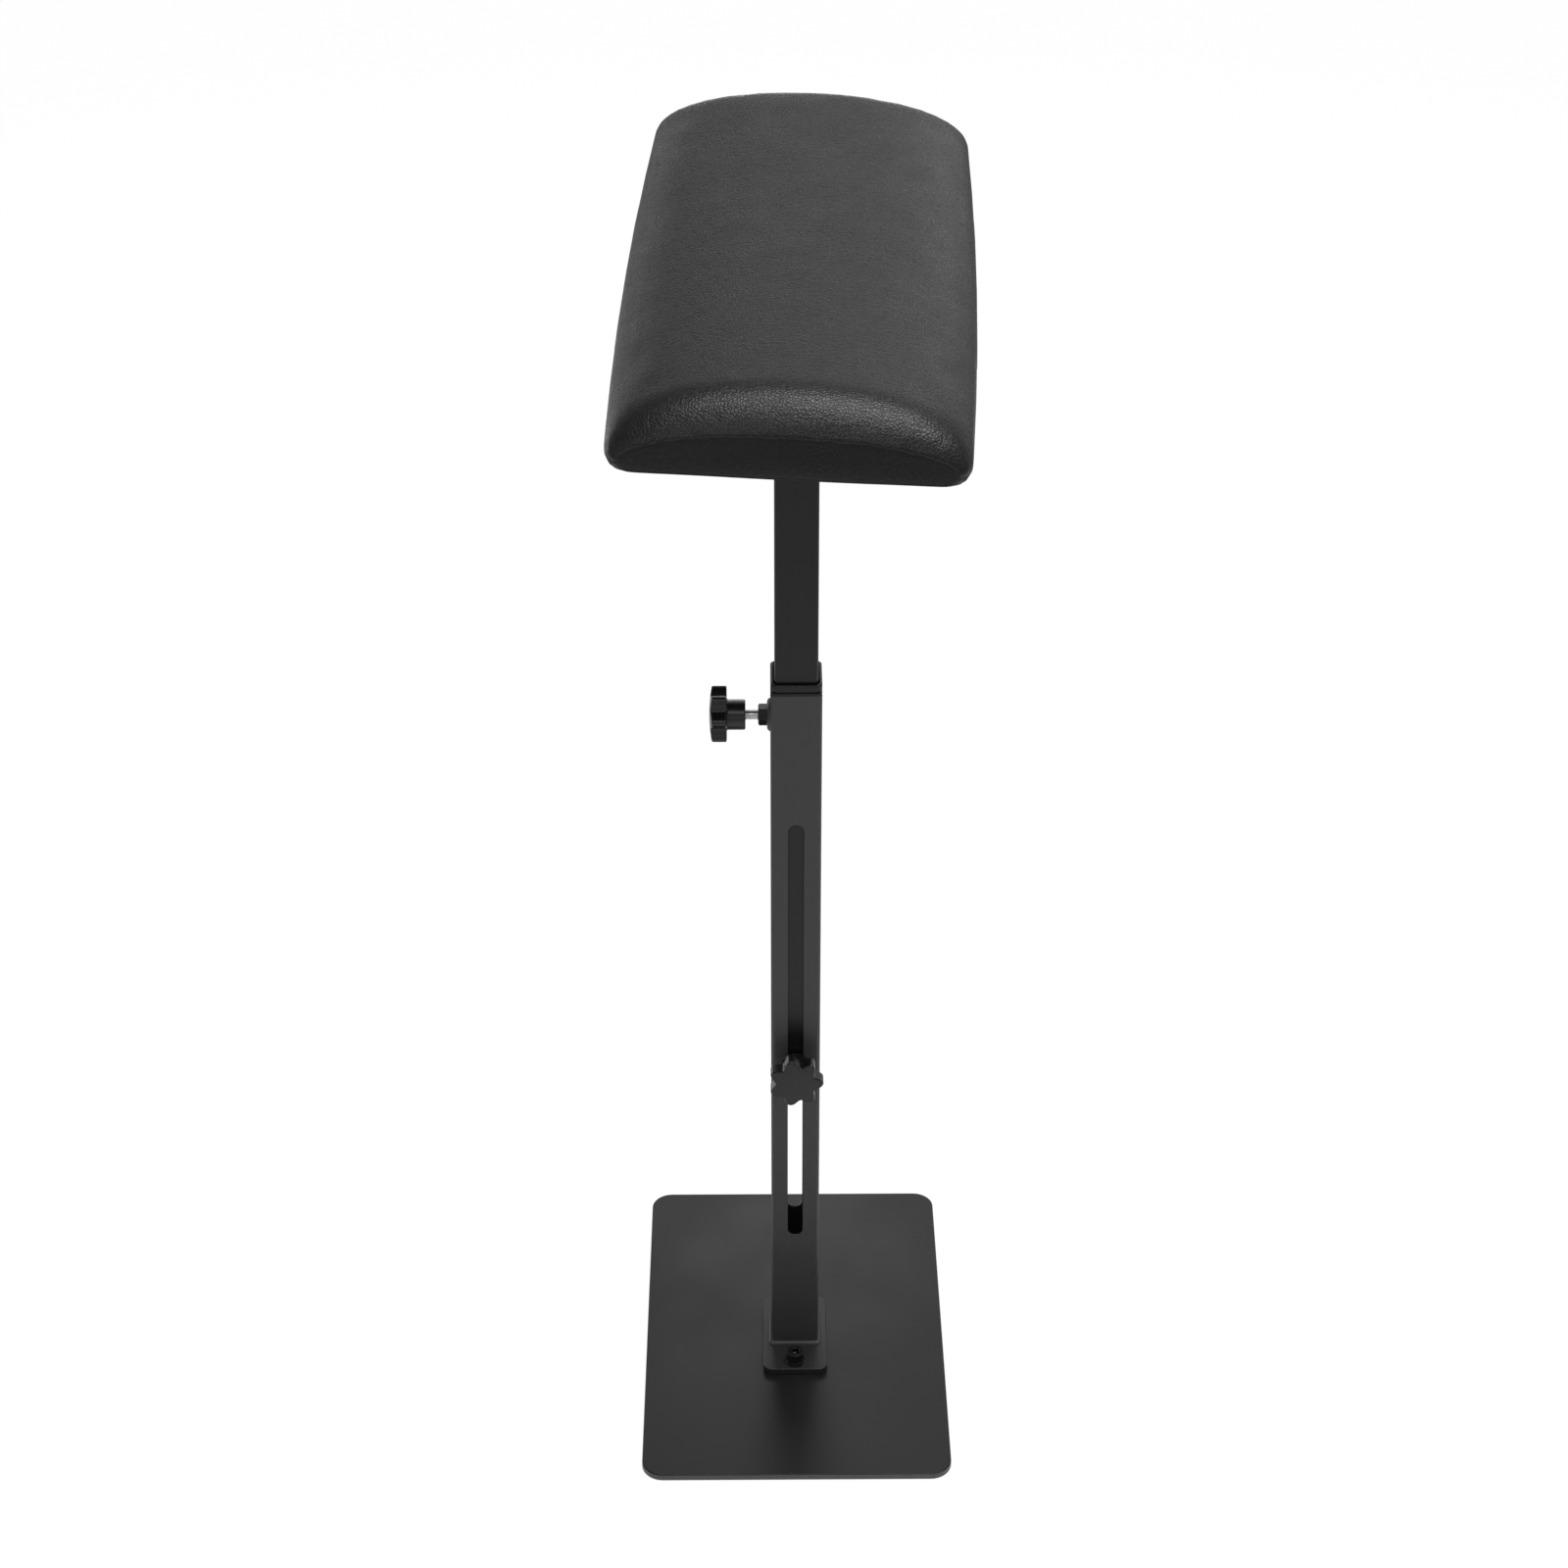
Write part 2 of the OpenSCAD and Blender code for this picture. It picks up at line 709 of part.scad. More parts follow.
module tee_nuts() {
    top = cover_t + board_t;
    color(zinc) at_pad() at_pad_screws() difference() {
        union() {
            translate([0, 0, top]) cylinder(tee_flange_t, tee_flange_r, tee_flange_r);
            translate([0, 0, top - tee_barrel_len]) cylinder(tee_barrel_len, tee_barrel_r, tee_barrel_r);
        }
        translate([0, 0, top - tee_barrel_len - over])
            cylinder(tee_barrel_len + tee_flange_t + 2 * over, pad_screw_r + run_gap, pad_screw_r + run_gap);
    }
}

module pad_board() {
    color(plywood) at_pad() translate([0, 0, cover_t]) difference() {
        round_plate(board_w, board_l, board_t, pad_bottom_r);
        at_pad_screws() translate([0, 0, -over])
            cylinder(board_t + 2 * over, tee_barrel_r + press_gap, tee_barrel_r + press_gap);
    }
}

// One section of the pad across its length: flat below, round lower corners, domed above
function pad_section(half, low, side, rise, corner) = concat(
    [for (i = [0:corner_steps]) let (a = -90 + 90 * i / corner_steps)
        [half - corner + corner * cos(a), low + corner + corner * sin(a)]],
    [for (i = [0:dome_steps]) let (a = 180 * i / dome_steps) [half * cos(a), side + rise * sin(a)]],
    [for (i = [0:corner_steps]) let (a = 180 + 90 * i / corner_steps)
        [-half + corner + corner * cos(a), low + corner + corner * sin(a)]]);

// Stations along the pad: [place, how far the end's rounding has drawn the section in]
function pad_stations(len, end_r) = concat(
    [for (i = [end_steps:-1:1]) let (a = 90 * i / end_steps)
        [-len / 2 + end_r - end_r * sin(a), end_r * (1 - cos(a))]],
    [for (s = middle_shares) [s * (len / 2 - end_r), 0]],
    [for (i = [1:end_steps]) let (a = 90 * i / end_steps)
        [len / 2 - end_r + end_r * sin(a), end_r * (1 - cos(a))]]);

// The pad's form, drawn in by inset from its outer surface
module pad_form(inset) {
    end_r = pad_end_r - inset;
    corner = pad_bottom_r - inset;
    stations = pad_stations(pad_l - 2 * inset, end_r);
    rings = [for (st = stations) let (
        share = 2 * st[0] / pad_l,
        half = pad_w / 2 - inset - pad_draw * share * share - end_side_share * st[1],
        low = inset + end_bottom_share * st[1],
        rise = pad_rise - inset - st[1])
        [for (p = pad_section(half, low, pad_side, rise, corner)) [p.x, st[0], p.y]]];
    n = len(rings[0]);
    count = len(rings);
    faces = concat(
        [[for (i = [n - 1:-1:0]) i]],
        [[for (i = [0:n - 1]) (count - 1) * n + i]],
        [for (k = [0:count - 2], i = [0:n - 1]) let (j = (i + 1) % n) [k * n + i, k * n + j, (k + 1) * n + i]],
        [for (k = [0:count - 2], i = [0:n - 1]) let (j = (i + 1) % n)
            [(k + 1) * n + i, k * n + j, (k + 1) * n + j]]);
    polyhedron(points = [for (r = rings) each r], faces = faces);
}

module pad_foam() {
    color(foam_grey) at_pad() difference() {
        pad_form(cover_t + soft_gap);
        translate([0, 0, -over]) round_plate(board_w + 2 * soft_gap, board_l + 2 * soft_gap,
                                             cover_t + board_t + soft_gap + over, pad_bottom_r);
        at_pad_screws() translate([0, 0, cover_t])
            cylinder(board_t + tee_flange_t + 2 * soft_gap, tee_flange_r + soft_gap, tee_flange_r + soft_gap,
                     $fn = hull_fn);
    }
}

module pad_cover() {
    color(black_leather) at_pad() difference() {
        pad_form(0);
        pad_form(cover_t);
        translate([0, 0, -over]) round_plate(open_w, open_l, cover_t + 2 * over, pad_bottom_r, $fn = hull_fn);
    }
}

// Cloth that laps over the folded edge and steps up against the board inside it
module dust_cover() {
    step_w = open_w - 2 * soft_gap;
    step_l = open_l - 2 * soft_gap;
    color(felt_black) at_pad() difference() {
        translate([0, 0, -dust_t]) union() {
            round_plate(open_w + 2 * dust_lap, open_l + 2 * dust_lap, dust_t, pad_bottom_r);
            round_plate(step_w, step_l, dust_t + cover_t, pad_bottom_r - soft_gap);
        }
        translate([0, 0, plate_seat - dust_t - cover_t - over])
            round_plate(step_w - 2 * dust_t, step_l - 2 * dust_t, dust_t + cover_t + over,
                        pad_bottom_r - soft_gap - dust_t);
        at_pad_screws() translate([0, 0, -over])
            cylinder(cover_t + 2 * over, pad_screw_r + hole_gap, pad_screw_r + hole_gap);
    }
}

floor_mat();
base_plate();
foot_flange();
foot_weld();
foot_screws();
foot_spring_washers();
foot_flat_washers();
outer_tube();
tube_bush();
side_weld_nut();
side_nut_weld();
side_stud();
side_knob();
mast_tube();
mast_foot_plug();
clamp_weld_nut();
mast_cap_plate();
mast_cap_weld();
swivel_nut();
swivel_bolt();
swivel_flat_washer();
swivel_spring_washer();
front_stud();
front_washer();
front_knob();
swivel_glide_washer();
swivel_bracket();
friction_washers();
tilt_yoke();
yoke_welds();
tilt_weld_nut();
tilt_stud();
tilt_washer();
tilt_knob();
pad_plate();
pad_screws();
tee_nuts();
pad_board();
pad_foam();
pad_cover();
dust_cover();
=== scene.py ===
"""Looks of the tattoo arm rest stand.

A domed leatherette pad sits on a telescoping square mast with star knobs, on a flat steel base.
Everything is in metres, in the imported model's own frame: +Z up, front towards -Y, and the origin
on the floor, on the axis of the tubes.
"""

import json
import random
from math import asin, atan2, ceil, copysign, cos, pi, radians, sin, sqrt, tan, tau

import bmesh
import bpy
from mathutils import Matrix, Vector


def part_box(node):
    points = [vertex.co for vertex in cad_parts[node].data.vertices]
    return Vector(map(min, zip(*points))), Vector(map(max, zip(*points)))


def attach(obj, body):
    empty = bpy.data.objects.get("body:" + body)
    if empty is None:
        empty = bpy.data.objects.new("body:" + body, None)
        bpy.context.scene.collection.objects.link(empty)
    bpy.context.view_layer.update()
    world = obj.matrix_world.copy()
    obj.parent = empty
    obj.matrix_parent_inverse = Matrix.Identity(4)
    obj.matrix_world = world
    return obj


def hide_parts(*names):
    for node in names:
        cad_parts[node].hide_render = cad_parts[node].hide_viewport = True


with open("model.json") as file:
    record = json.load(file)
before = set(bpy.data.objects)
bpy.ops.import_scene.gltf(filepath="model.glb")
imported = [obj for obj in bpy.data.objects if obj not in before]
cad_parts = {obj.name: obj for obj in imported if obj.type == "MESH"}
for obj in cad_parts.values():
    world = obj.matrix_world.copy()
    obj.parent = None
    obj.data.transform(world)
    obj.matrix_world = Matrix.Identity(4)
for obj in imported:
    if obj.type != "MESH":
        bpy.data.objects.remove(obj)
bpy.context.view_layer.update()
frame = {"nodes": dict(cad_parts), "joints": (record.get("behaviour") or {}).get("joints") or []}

# Small lengths and tolerances
MM = 0.001
TINY = 1e-5
SMOOTH_ANGLE = radians(38)
FINE_ANGLE = radians(32)

# Thread radii of the studs, the pad screws and the swivel bolt, and the holes that clear them
M8, M8_HOLE = 4 * MM, 4.06 * MM
M6, M6_HOLE = 3 * MM, 3.06 * MM
M10, M10_HOLE = 5 * MM, 5.06 * MM
STUD_HOLE = 4.5 * MM

# Tubes: wall, and corner radii outside
TUBE_WALL = 1.5 * MM
TUBE_CORNER = 3 * MM
MAST_CORNER = 2.5 * MM

# Bent plate of the head: its thickness and the radius of its ears
HEAD_PLATE = 4 * MM
EAR_RADIUS = 15 * MM

# Tilt of the pad, as the photograph shows it
PAD_TILT = radians(4)

# The side knob has a lobe at the bottom, and its nut a flat on top
SIDE_KNOB_TURN = radians(180)
SIDE_NUT_TURN = radians(30)


# Places

def joint(name):
    """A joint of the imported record."""
    return next(j for j in frame["joints"] if j["name"] == name)


def place(at, up, right):
    """A place as a matrix, from its origin, its z axis and roughly its x axis."""
    z = Vector(up).normalized()
    y = z.cross(Vector(right)).normalized()
    x = y.cross(z)
    return Matrix.Translation(Vector(at)) @ Matrix((x, y, z)).transposed().to_4x4()


def box_in(where, node):
    """Lowest and highest corners of a CAD node, measured along a place's own axes."""
    inward = where.inverted()
    points = [inward @ v.co for v in frame["nodes"][node].data.vertices]
    return Vector(map(min, zip(*points))), Vector(map(max, zip(*points)))


swivel, tilt = joint("pad_swivel"), joint("pad_tilt")
HERE = Matrix()
LEFT = place((0, 0, joint("side_knob_turn")["pos_m"][2]), (-1, 0, 0), (0, 0, 1))
FRONT = place((0, 0, joint("front_knob_turn")["pos_m"][2]), (0, -1, 0), (1, 0, 0))
HEAD = place(swivel["pos_m"], swivel["axis"], (1, 0, 0))
SWIVEL = place(swivel["pos_m"], swivel["axis"], tilt["axis"])
PIVOT = place(tilt["pos_m"], swivel["axis"], tilt["axis"]) @ Matrix.Rotation(PAD_TILT, 4, "X")
TILT = PIVOT @ Matrix.Rotation(radians(-90), 4, "Y")
PAD = PIVOT @ Matrix.Translation((0, 0, box_in(PIVOT, "pad_cover")[0].z))


# Modelling by hand

def configure(thing, **settings):
    """Set several attributes at once."""
    for key, value in settings.items():
        setattr(thing, key, value)
    return thing


def deselect():
    """Select nothing."""
    bpy.ops.object.select_all(action="DESELECT")


def alone(piece):
    """Select and activate one piece, and nothing else."""
    deselect()
    piece.select_set(True)
    bpy.context.view_layer.objects.active = piece


def named(name):
    """Name the primitive just added, and put its size and place into its mesh."""
    piece = bpy.context.active_object
    piece.name = name
    piece.data.name = name
    bpy.ops.object.transform_apply(location=True, rotation=True, scale=True)
    return piece


def edit(piece):
    """Select a piece and go into edit mode."""
    alone(piece)
    bpy.ops.object.mode_set(mode="EDIT")


def take_all():
    bpy.ops.mesh.select_all(action="SELECT")


def leave():
    bpy.ops.object.mode_set(mode="OBJECT")


def choose(piece, kind, test):
    """In edit mode, select the vertices, edges or faces that pass a test, and nothing else."""
    bpy.ops.mesh.select_mode(type=kind)
    bpy.ops.mesh.select_all(action="DESELECT")
    mesh = bmesh.from_edit_mesh(piece.data)
    mesh.normal_update()
    for part in {"VERT": mesh.verts, "EDGE": mesh.edges, "FACE": mesh.faces}[kind]:
        if test(part):
            part.select_set(True)
    mesh.select_flush_mode()
    bmesh.update_edit_mesh(piece.data)


def pull(x=0.0, y=0.0, z=0.0):
    """Extrude what is selected."""
    bpy.ops.mesh.extrude_region_move(TRANSFORM_OT_translate={"value": (x, y, z)})


def grow(factor_x, factor_y, height):
    """Resize what is selected across the z axis, at its own height."""
    bpy.ops.transform.resize(value=(factor_x, factor_y, 1), center_override=(0, 0, height))


def modify(piece, kind, **settings):
    """Add a modifier to a piece and apply it."""
    alone(piece)
    modifier = configure(piece.modifiers.new(kind.lower(), kind), **settings)
    bpy.ops.object.modifier_apply(modifier=modifier.name)
    return piece


def cut(piece, cutter, operation="DIFFERENCE"):
    """Cut a piece with another, which is then gone."""
    modify(piece, "BOOLEAN", object=cutter, operation=operation, solver="EXACT")
    bpy.data.objects.remove(cutter)
    return piece


def settle(piece, where):
    """Carry a piece that was modelled on the z axis to its place, within its mesh."""
    alone(piece)
    piece.matrix_world = where
    bpy.ops.object.transform_apply(location=True, rotation=True, scale=True)
    return piece


def twin(piece, name):
    """A copy with its own mesh."""
    alone(piece)
    bpy.ops.object.duplicate(linked=False)
    copy = bpy.context.active_object
    copy.name = name
    copy.data.name = name
    return copy


def joined(name, pieces):
    """Several pieces as one."""
    deselect()
    for piece in pieces:
        piece.select_set(True)
    bpy.context.view_layer.objects.active = pieces[0]
    bpy.ops.object.join()
    pieces[0].name = name
    pieces[0].data.name = name
    return pieces[0]


def copies(first, places):
    """A piece and its copies, one at each place, as one piece."""
    pieces = [first] + [twin(first, first.name + "_more") for _ in places[1:]]
    return joined(first.name, [settle(piece, where) for piece, where in zip(pieces, places)])


def outward(piece):
    """Merge doubles and turn every face outwards."""
    edit(piece)
    take_all()
    bpy.ops.mesh.remove_doubles(threshold=TINY / 10)
    bpy.ops.mesh.normals_make_consistent(inside=False)
    leave()
    return piece


def smooth(piece, angle=SMOOTH_ANGLE):
    """Shade round parts smooth and keep flat ones flat."""
    alone(piece)
    bpy.ops.object.shade_smooth_by_angle(angle=angle)
    modify(piece, "WEIGHTED_NORMAL", keep_sharp=True, weight=100)
    return piece


def soften(piece, width, steps=2, angle=40):
    """Break every sharp edge, and shade the piece."""
    modify(piece, "BEVEL", width=width, segments=steps, limit_method="ANGLE",
           angle_limit=radians(angle), use_clamp_overlap=True)
    return smooth(piece)


def slab(name, low, high, corner, rim=0.0, corner_steps=8, rim_steps=3):
    """Plate with rounded corners and, if rim is given, with rounded rims."""
    low, high = Vector(low), Vector(high)
    deselect()
    bpy.ops.mesh.primitive_cube_add(size=1, location=(low + high) / 2, scale=high - low)
    piece = named(name)
    edit(piece)
    choose(piece, "EDGE", lambda e: (e.verts[0].co - e.verts[1].co).xy.length < TINY)
    bpy.ops.mesh.bevel(offset=corner, segments=corner_steps, affect="EDGES")
    if rim:
        choose(piece, "EDGE", lambda e: abs(e.verts[0].co.z - e.verts[1].co.z) < TINY)
        bpy.ops.mesh.bevel(offset=rim, segments=rim_steps, affect="EDGES")
    leave()
    return piece


def pane(name, width, depth, at=(0, 0, 0), upright=False):
    """Flat rectangle across the z axis, or across the y axis if it is upright."""
    deselect()
    bpy.ops.mesh.primitive_plane_add(size=1, location=at, rotation=(pi / 2 if upright else 0, 0, 0))
    piece = named(name)
    edit(piece)
    take_all()
    size = (width, 1, depth) if upright else (width, depth, 1)
    bpy.ops.transform.resize(value=size, center_override=at)
    leave()
    return piece


def rod(radius, low, high, sides=48, turn=0.0, name="rod"):
    """Plain rod on the z axis."""
    deselect()
    bpy.ops.mesh.primitive_cylinder_add(vertices=sides, radius=radius, depth=high - low,
                                        location=(0, 0, (low + high) / 2), rotation=(0, 0, turn))
    return named(name)


def rounded_outline(corner, steps):
    """In edit mode, round the corners of a flat face and leave its edges alone."""
    take_all()
    bpy.ops.mesh.bevel(offset=corner, segments=steps, affect="VERTICES")
    take_all()
    bpy.ops.mesh.delete(type="ONLY_FACE")


def drawn(piece, profile, closed):
    """Draw a loop of edges along a profile of (half width, height) pairs. A closed profile ends in a
    face at each end, and an open one comes back to its first loop, as on a ring."""
    edit(piece)
    take_all()
    for (half, height), (next_half, next_height) in zip(profile, profile[1:]):
        pull(z=next_height - height)
        if abs(next_half - half) > TINY / 100:
            grow(next_half / half, next_half / half, next_height)
    if closed:
        bpy.ops.mesh.edge_face_add()
        choose(piece, "VERT", lambda v: abs(v.co.z - profile[0][1]) < TINY / 100 and len(v.link_faces) < 4
               and v.is_boundary)
        bpy.ops.mesh.edge_face_add()
    leave()
    return outward(piece)


def turned(name, profile, sides=64, closed=True):
    """Turned piece on the z axis, from (radius, height) pairs."""
    deselect()
    bpy.ops.mesh.primitive_circle_add(vertices=sides, radius=profile[0][0], location=(0, 0, profile[0][1]),
                                      fill_type="NOTHING")
    return drawn(named(name), profile, closed)


def squared(name, profile, corner, closed=True, corner_steps=8):
    """Piece of square section with rounded corners, from (half width, height) pairs."""
    half, height = profile[0]
    deselect()
    bpy.ops.mesh.primitive_plane_add(size=2 * half, location=(0, 0, height))
    piece = named(name)
    edit(piece)
    rounded_outline(corner, corner_steps)
    leave()
    return drawn(piece, profile, closed)


def ring(name, outer, bore, low, high, edge, sides=64):
    """Washer with broken edges on the z axis."""
    profile = [(bore, low + edge), (bore + edge, low), (outer - edge, low), (outer, low + edge),
               (outer, high - edge), (outer - edge, high), (bore + edge, high), (bore, high - edge),
               (bore, low + edge)]
    return smooth(turned(name, profile, sides, closed=False), radians(30))


def split_ring(name, outer, bore, low, high):
    """Spring washer: one turn of a square wire, cut through, with its ends a little apart."""
    wire = (outer - bore) / 2
    thick = (high - low) * 0.86
    piece = pane(name, 2 * wire, thick, (bore + wire, 0, low + thick / 2), upright=True)
    edit(piece)
    rounded_outline(thick * 0.15, 2)
    leave()
    modify(piece, "SCREW", angle=radians(350), screw_offset=high - low - thick, steps=60,
           render_steps=60, axis="Z")
    edit(piece)
    take_all()
    bpy.ops.mesh.fill_holes(sides=0)
    leave()
    return smooth(outward(piece), radians(30))


def threaded(name, radius, low, high, pitch, sides=24):
    """Threaded rod on the z axis, with chamfered ends."""
    depth = 0.61 * pitch
    root = radius - depth
    shape = [(0, 0.25), (depth, 0.3125), (0, 0.125), (-depth, 0.3125)]
    turns = ceil((high - low) / pitch) + 5
    deselect()
    bpy.ops.mesh.primitive_plane_add(size=radius)
    piece = named(name)
    edit(piece)
    take_all()
    bpy.ops.mesh.merge(type="CENTER")
    bpy.ops.transform.translate(value=(root, 0, low - 2.51 * pitch))
    for rise, share in shape:
        pull(x=rise, z=share * pitch)
    leave()
    modify(piece, "SCREW", angle=tau, screw_offset=pitch, iterations=turns, steps=sides,
           render_steps=sides, axis="Z", use_merge_vertices=True, merge_threshold=TINY / 10)
    edit(piece)
    take_all()
    bpy.ops.mesh.remove_doubles(threshold=TINY / 10)
    take_all()
    bpy.ops.mesh.fill_holes(sides=0)
    leave()
    outward(piece)
    full = radius + TINY
    barrel = [(root, low - TINY), (full, low + depth), (full, high - depth), (root, high + TINY)]
    cut(piece, turned("barrel", barrel), "INTERSECT")
    return smooth(piece, radians(30))


def hexagon(name, flats, low, high):
    """Hexagon prism with a corner at +X, measured across its flats."""
    return rod(flats / 2 / cos(radians(30)), low, high, 6, pi / 2, name)


def hex_nut(name, flats, low, high, bore, chamfers=(True, True)):
    """Hexagon nut or bolt head with turned chamfers. Without a bore it is solid."""
    piece = hexagon(name, flats, low, high)
    corner = flats / 2 / cos(radians(30)) + TINY
    face = flats / 2 * 0.96
    slope = (corner - face) * tan(radians(30))
    ends = [(face, low), (corner, low + slope)] if chamfers[0] else [(corner, low)]
    ends += [(corner, high - slope), (face, high)] if chamfers[1] else [(corner, high)]
    cut(piece, turned("chamfer", ends), "INTERSECT")
    if bore:
        lead = 0.5 * MM
        cut(piece, turned("bore", [(bore + lead, low - TINY), (bore, low + lead), (bore, high - lead),
                                   (bore + lead, high + TINY)]))
    return soften(piece, 0.15 * MM, 1, 25)


def channel(name, half, depth, web, ends, thick, bend):
    """U of bent plate: a web across X and two flanges, all given at the middle of the plate."""
    piece = pane(name, 2 * half, depth, (0, 0, web))
    edit(piece)
    for side in (-1, 1):
        choose(piece, "EDGE", lambda e: all(abs(v.co.x - side * half) < TINY for v in e.verts))
        pull(z=ends - web)
    choose(piece, "EDGE", lambda e: all(abs(v.co.z - web) < TINY for v in e.verts)
           and abs(e.verts[0].co.x - e.verts[1].co.x) < TINY)
    bpy.ops.mesh.bevel(offset=bend, segments=6, affect="EDGES")
    take_all()
    bpy.ops.mesh.normals_make_consistent(inside=False)
    leave()
    return modify(piece, "SOLIDIFY", thickness=thick, offset=0, use_even_offset=True)


def fork(name, half, depth, web, ears_at):
    """Bent bracket: a square web, given by its middle height, and two round ears whose hole is at
    the height ears_at. Slots relieve the bends."""
    bend, slot, thick = 4 * MM, 1.5 * MM, HEAD_PLATE
    way = copysign(1, ears_at - web)
    reach = ears_at + way * 2 * EAR_RADIUS
    piece = channel(name, half - thick / 2, 2 * EAR_RADIUS, web, reach, thick, bend)
    ends = sorted((ears_at, reach + way * MM))
    tips = slab("tips", (-2 * half, -2 * EAR_RADIUS, ends[0]), (2 * half, 2 * EAR_RADIUS, ends[1]), MM)
    across = Matrix.Translation((0, 0, ears_at)) @ Matrix.Rotation(pi / 2, 4, "Y")
    cut(tips, settle(rod(EAR_RADIUS, -3 * half, 3 * half, 96), across))
    cut(piece, tips)
    plate = slab("plate", (-half, -depth / 2, web - thick / 2), (half, depth / 2, web + thick / 2), 3 * MM)
    for side in (-1, 1):
        notch = sorted((side * (half - thick / 2 - bend - MM), side * (half + MM)))
        room = EAR_RADIUS + slot
        cut(plate, slab("notch", (notch[0], -room, web - thick), (notch[1], room, web + thick), slot / 2))
    cut(piece, plate, "UNION")
    return cut(piece, settle(rod(M8_HOLE, -2 * half, 2 * half), across))


def square_bead(name, half, corner, leg, low):
    """Weld bead round a square tube, round outside and finely rippled, with its foot at z = low."""
    arc = [(half + leg * cos(a), low + leg * sin(a))
           for a in (radians(step) for step in range(0, 91, 15))]
    bead = squared(name, [(half, low)] + arc + [(half, low)], corner, closed=False)
    straight = 2 * (half - corner)
    count = round(straight / (1.1 * MM))
    edit(bead)
    choose(bead, "EDGE", lambda e: (e.verts[0].co - e.verts[1].co).length > straight / 2)
    bpy.ops.mesh.subdivide(number_cuts=count - 1)

    def crest(vertex):
        """Is a vertex on every second step of the bead's outer face?"""
        x, y = abs(vertex.co.x), abs(vertex.co.y)
        along = min(x, y) / max(x, y) * half / straight + 0.5
        return max(x, y) > half + 0.3 * leg and cos(pi * along * count) > 0.5

    choose(bead, "VERT", crest)
    grow(1.005, 1.005, 0)
    leave()
    return smooth(bead, radians(50))


# Surfaces

class Nodes:
    """A tree of shader nodes, and the few kinds of node that the surfaces are built from."""

    def __init__(self, tree):
        self.tree = tree
        self.shader = tree.nodes.get("Principled BSDF")

    def add(self, kind, values=None, **settings):
        """A node with its settings and its input values."""
        node = configure(self.tree.nodes.new(kind), **settings)
        for key, value in (values or {}).items():
            node.inputs[key].default_value = value
        return node

    def wire(self, out, into):
        self.tree.links.new(out, into)

    def where(self, stretch=(1, 1, 1)):
        """Object coordinates, stretched by a Mapping node."""
        mapping = self.add("ShaderNodeMapping", {"Scale": stretch})
        self.wire(self.add("ShaderNodeTexCoord").outputs["Object"], mapping.inputs["Vector"])
        return mapping.outputs["Vector"]

    def texture(self, kind, out, values, stretch=(1, 1, 1), **settings):
        """One output of a texture that lies in object coordinates."""
        made = self.add(kind, values, **settings)
        self.wire(self.where(stretch), made.inputs["Vector"])
        return made.outputs[out]

    def noise(self, scale, detail=2.0, stretch=(1, 1, 1), roughness=0.5, out="Fac"):
        values = {"Scale": scale, "Detail": detail, "Roughness": roughness}
        return self.texture("ShaderNodeTexNoise", out, values, stretch)

    def mapped(self, value, low, high, new_low, new_high):
        values = {"From Min": low, "From Max": high, "To Min": new_low, "To Max": new_high}
        made = self.add("ShaderNodeMapRange", values)
        self.wire(value, made.inputs["Value"])
        return made.outputs["Result"]

    def plus(self, first, second, operation="ADD"):
        made = self.add("ShaderNodeMath", operation=operation)
        for socket, value in zip(made.inputs, (first, second)):
            if isinstance(value, (int, float)):
                socket.default_value = value
            else:
                self.wire(value, socket)
        return made.outputs["Value"]

    def times(self, first, second):
        return self.plus(first, second, "MULTIPLY")

    def rays(self):
        """The light path, and whether a ray comes straight from the camera."""
        path = self.add("ShaderNodeLightPath").outputs
        return path, self.plus(path["Is Camera Ray"], path["Is Transmission Ray"], "MAXIMUM")

    def tinted(self, factor, dark, light):
        """Base colour that runs from dark to light with a factor."""
        ramp = self.add("ShaderNodeValToRGB")
        ramp.color_ramp.elements[0].color = (*dark, 1)
        ramp.color_ramp.elements[1].color = (*light, 1)
        self.wire(factor, ramp.inputs["Fac"])
        self.wire(ramp.outputs["Color"], self.shader.inputs["Base Color"])

    def roughened(self, factor, low, high):
        """Roughness that follows the middle part of a noise."""
        self.wire(self.mapped(factor, 0.3, 0.7, low, high), self.shader.inputs["Roughness"])

    def bumped(self, height, distance, strength=1.0):
        bump = self.add("ShaderNodeBump", {"Strength": strength, "Distance": distance})
        self.wire(height, bump.inputs["Height"])
        self.wire(bump.outputs["Normal"], self.shader.inputs["Normal"])


def plain(name, colour, roughness, **sockets):
    """A material with one Principled shader, and its nodes."""
    made = bpy.data.materials.new(name)
    made.use_nodes = True
    nodes = Nodes(made.node_tree)
    nodes.shader.inputs["Base Color"].default_value = (*colour, 1)
    nodes.shader.inputs["Roughness"].default_value = roughness
    for socket, value in sockets.items():
        nodes.shader.inputs[socket.replace("_", " ")].default_value = value
    return made, nodes


def grey(level, blue=0.0):
    """A neutral colour, or one with a little more blue."""
    return level, level, level + blue


def shaded(colour, factor):
    return [channel * factor for channel in colour]


def powder_coat(name, dark, light, roughness, specular):
    """Fine matt powder coat: slight orange peel, fine specks and a little unevenness in its sheen."""
    made, nodes = plain(name, light, roughness, Specular_IOR_Level=specular)
    cloud = nodes.noise(14, 3.0)
    nodes.tinted(nodes.mapped(cloud, 0.3, 0.7, 0, 1), dark, light)
    nodes.roughened(cloud, roughness - 0.03, roughness + 0.04)
    peel, specks = nodes.noise(420, 1.0), nodes.noise(2600)
    nodes.bumped(nodes.plus(nodes.times(peel, 0.7), nodes.times(specks, 0.3)), 0.04 * MM, 0.5)
    return made


